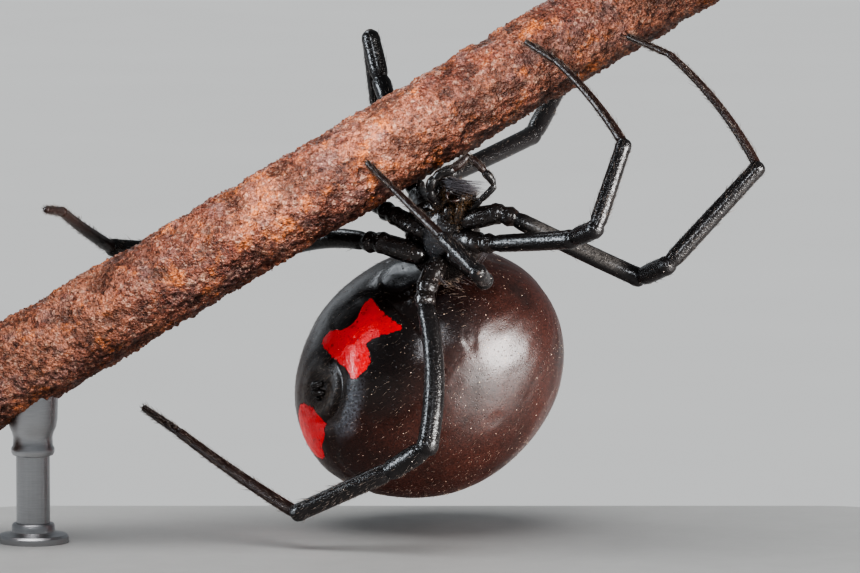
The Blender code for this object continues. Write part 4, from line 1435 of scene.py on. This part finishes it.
def studio_world():
    """Dim even light from all round."""
    world = bpy.data.worlds.new("studio")
    world.use_nodes = True
    background = world.node_tree.nodes["Background"]
    background.inputs["Color"].default_value = WORLD_COLOUR
    background.inputs["Strength"].default_value = WORLD_STRENGTH
    bpy.context.scene.world = world
    bpy.context.scene.view_settings.look = "AgX - High Contrast"


def studio_camera():
    """The photograph's view: straight at the layout, and so a little from above."""
    camera = bpy.data.cameras.new("camera")
    camera.sensor_width = SENSOR_WIDTH
    camera.lens = CAMERA_DISTANCE * SENSOR_WIDTH / PICTURE_WIDTH
    camera.clip_start = 0.01
    camera.clip_end = 5.0
    item = add_object("camera", camera)
    item.location = to_world((0.0, -CAMERA_DISTANCE, 0.0))
    item.rotation_euler = (math.radians(90) - LEAN, 0.0, 0.0)
    bpy.context.scene.camera = item


def build():
    """Dress the model, light it and set the camera."""
    nodes = frame["nodes"]
    flesh = [name for name in nodes if name != "perch_twig" and not name.startswith("stand_")]
    leg_cuticle = leg_material("spider_leg", (0.0034, 0.0030, 0.0032), (0.0095, 0.0080, 0.0078), 0.15)
    foot_cuticle = leg_material("spider_foot", (0.0055, 0.0030, 0.0026), (0.019, 0.0080, 0.0058), 0.22)
    membrane = cloudy_material("joint_membrane", 6.0, (0.008, 0.006, 0.005), (0.050, 0.031, 0.023),
                               0.40, 0.02)
    skin = make_skin((abdomen_material(), body_material(), leg_cuticle, foot_cuticle, membrane))
    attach(skin, "root")
    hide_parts(*flesh)

    leg_hair = hair_material("leg_hair", (0.012, 0.009, 0.008), (0.12, 0.092, 0.075))
    globe_hair = hair_material("abdomen_hair", (0.030, 0.018, 0.012), (0.30, 0.23, 0.18))
    brown_hair = hair_material("mouth_hair", (0.014, 0.008, 0.004), (0.150, 0.085, 0.042))
    grey_hair = hair_material("brush_hair", (0.004, 0.003, 0.004), (0.105, 0.097, 0.105))
    glass = cloudy_material("eye", 9.0, (0.004, 0.003, 0.003), (0.030, 0.014, 0.009), 0.06, Coat_Weight=0.5)
    horn = cloudy_material("claw", 12.0, (0.005, 0.003, 0.002), (0.026, 0.009, 0.006), 0.34)
    bark, steel = bark_material(), rod_material()
    cup, collar = make_fittings()
    left_legs, right_legs = [[f"leg_{side}_{pair}" for pair in LEG_RADII] for side in ("left", "right")]
    pieces = (
        (limb_hairs("hairs_left_legs", left_legs), leg_hair, "leg_cuticle"),
        (limb_hairs("hairs_right_legs", right_legs), leg_hair, "leg_cuticle"),
        (limb_hairs("hairs_palps", ["palp_left", "palp_right"]), leg_hair, "leg_cuticle"),
        (abdomen_hairs(), globe_hair, "abdomen_cuticle"),
        (body_hairs(), leg_hair, "body_cuticle"),
        (mouth_hairs(), brown_hair, "body_cuticle"),
        (brush_hairs(), grey_hair, "body_cuticle"),
        (make_eyes(), glass, "body_cuticle"),
        (make_fangs(), horn, "body_cuticle"),
        (make_claws(), horn, "foot_cuticle"),
        (make_twig(), bark, "bark"),
        (make_grains(), bark, "bark"),
        (cup, steel, "stand_rod"),
        (collar, steel, "stand_rod"),
    )
    for item, material, slot in pieces:
        wear(item, material)
        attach(item, "root")
        if item.name == "twig_bark":
            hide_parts("perch_twig")
    wear(nodes["stand_base"], base_material())
    wear(nodes["stand_rod"], steel)

    floor = studio_floor()
    wear(floor, cloudy_material("studio_floor", 0.05, (0.66, 0.66, 0.65), (0.70, 0.70, 0.69),
                                0.85, detail=2.0))
    twig = [item for item, _, slot in pieces if slot == "bark"]
    stand = [nodes["stand_rod"], nodes["stand_base"], cup, collar]
    spider = [skin] + [item for item, _, _ in pieces if item not in twig + stand]
    studio_lights(spider, twig, [floor] + stand)
    studio_world()
    studio_camera()


build()
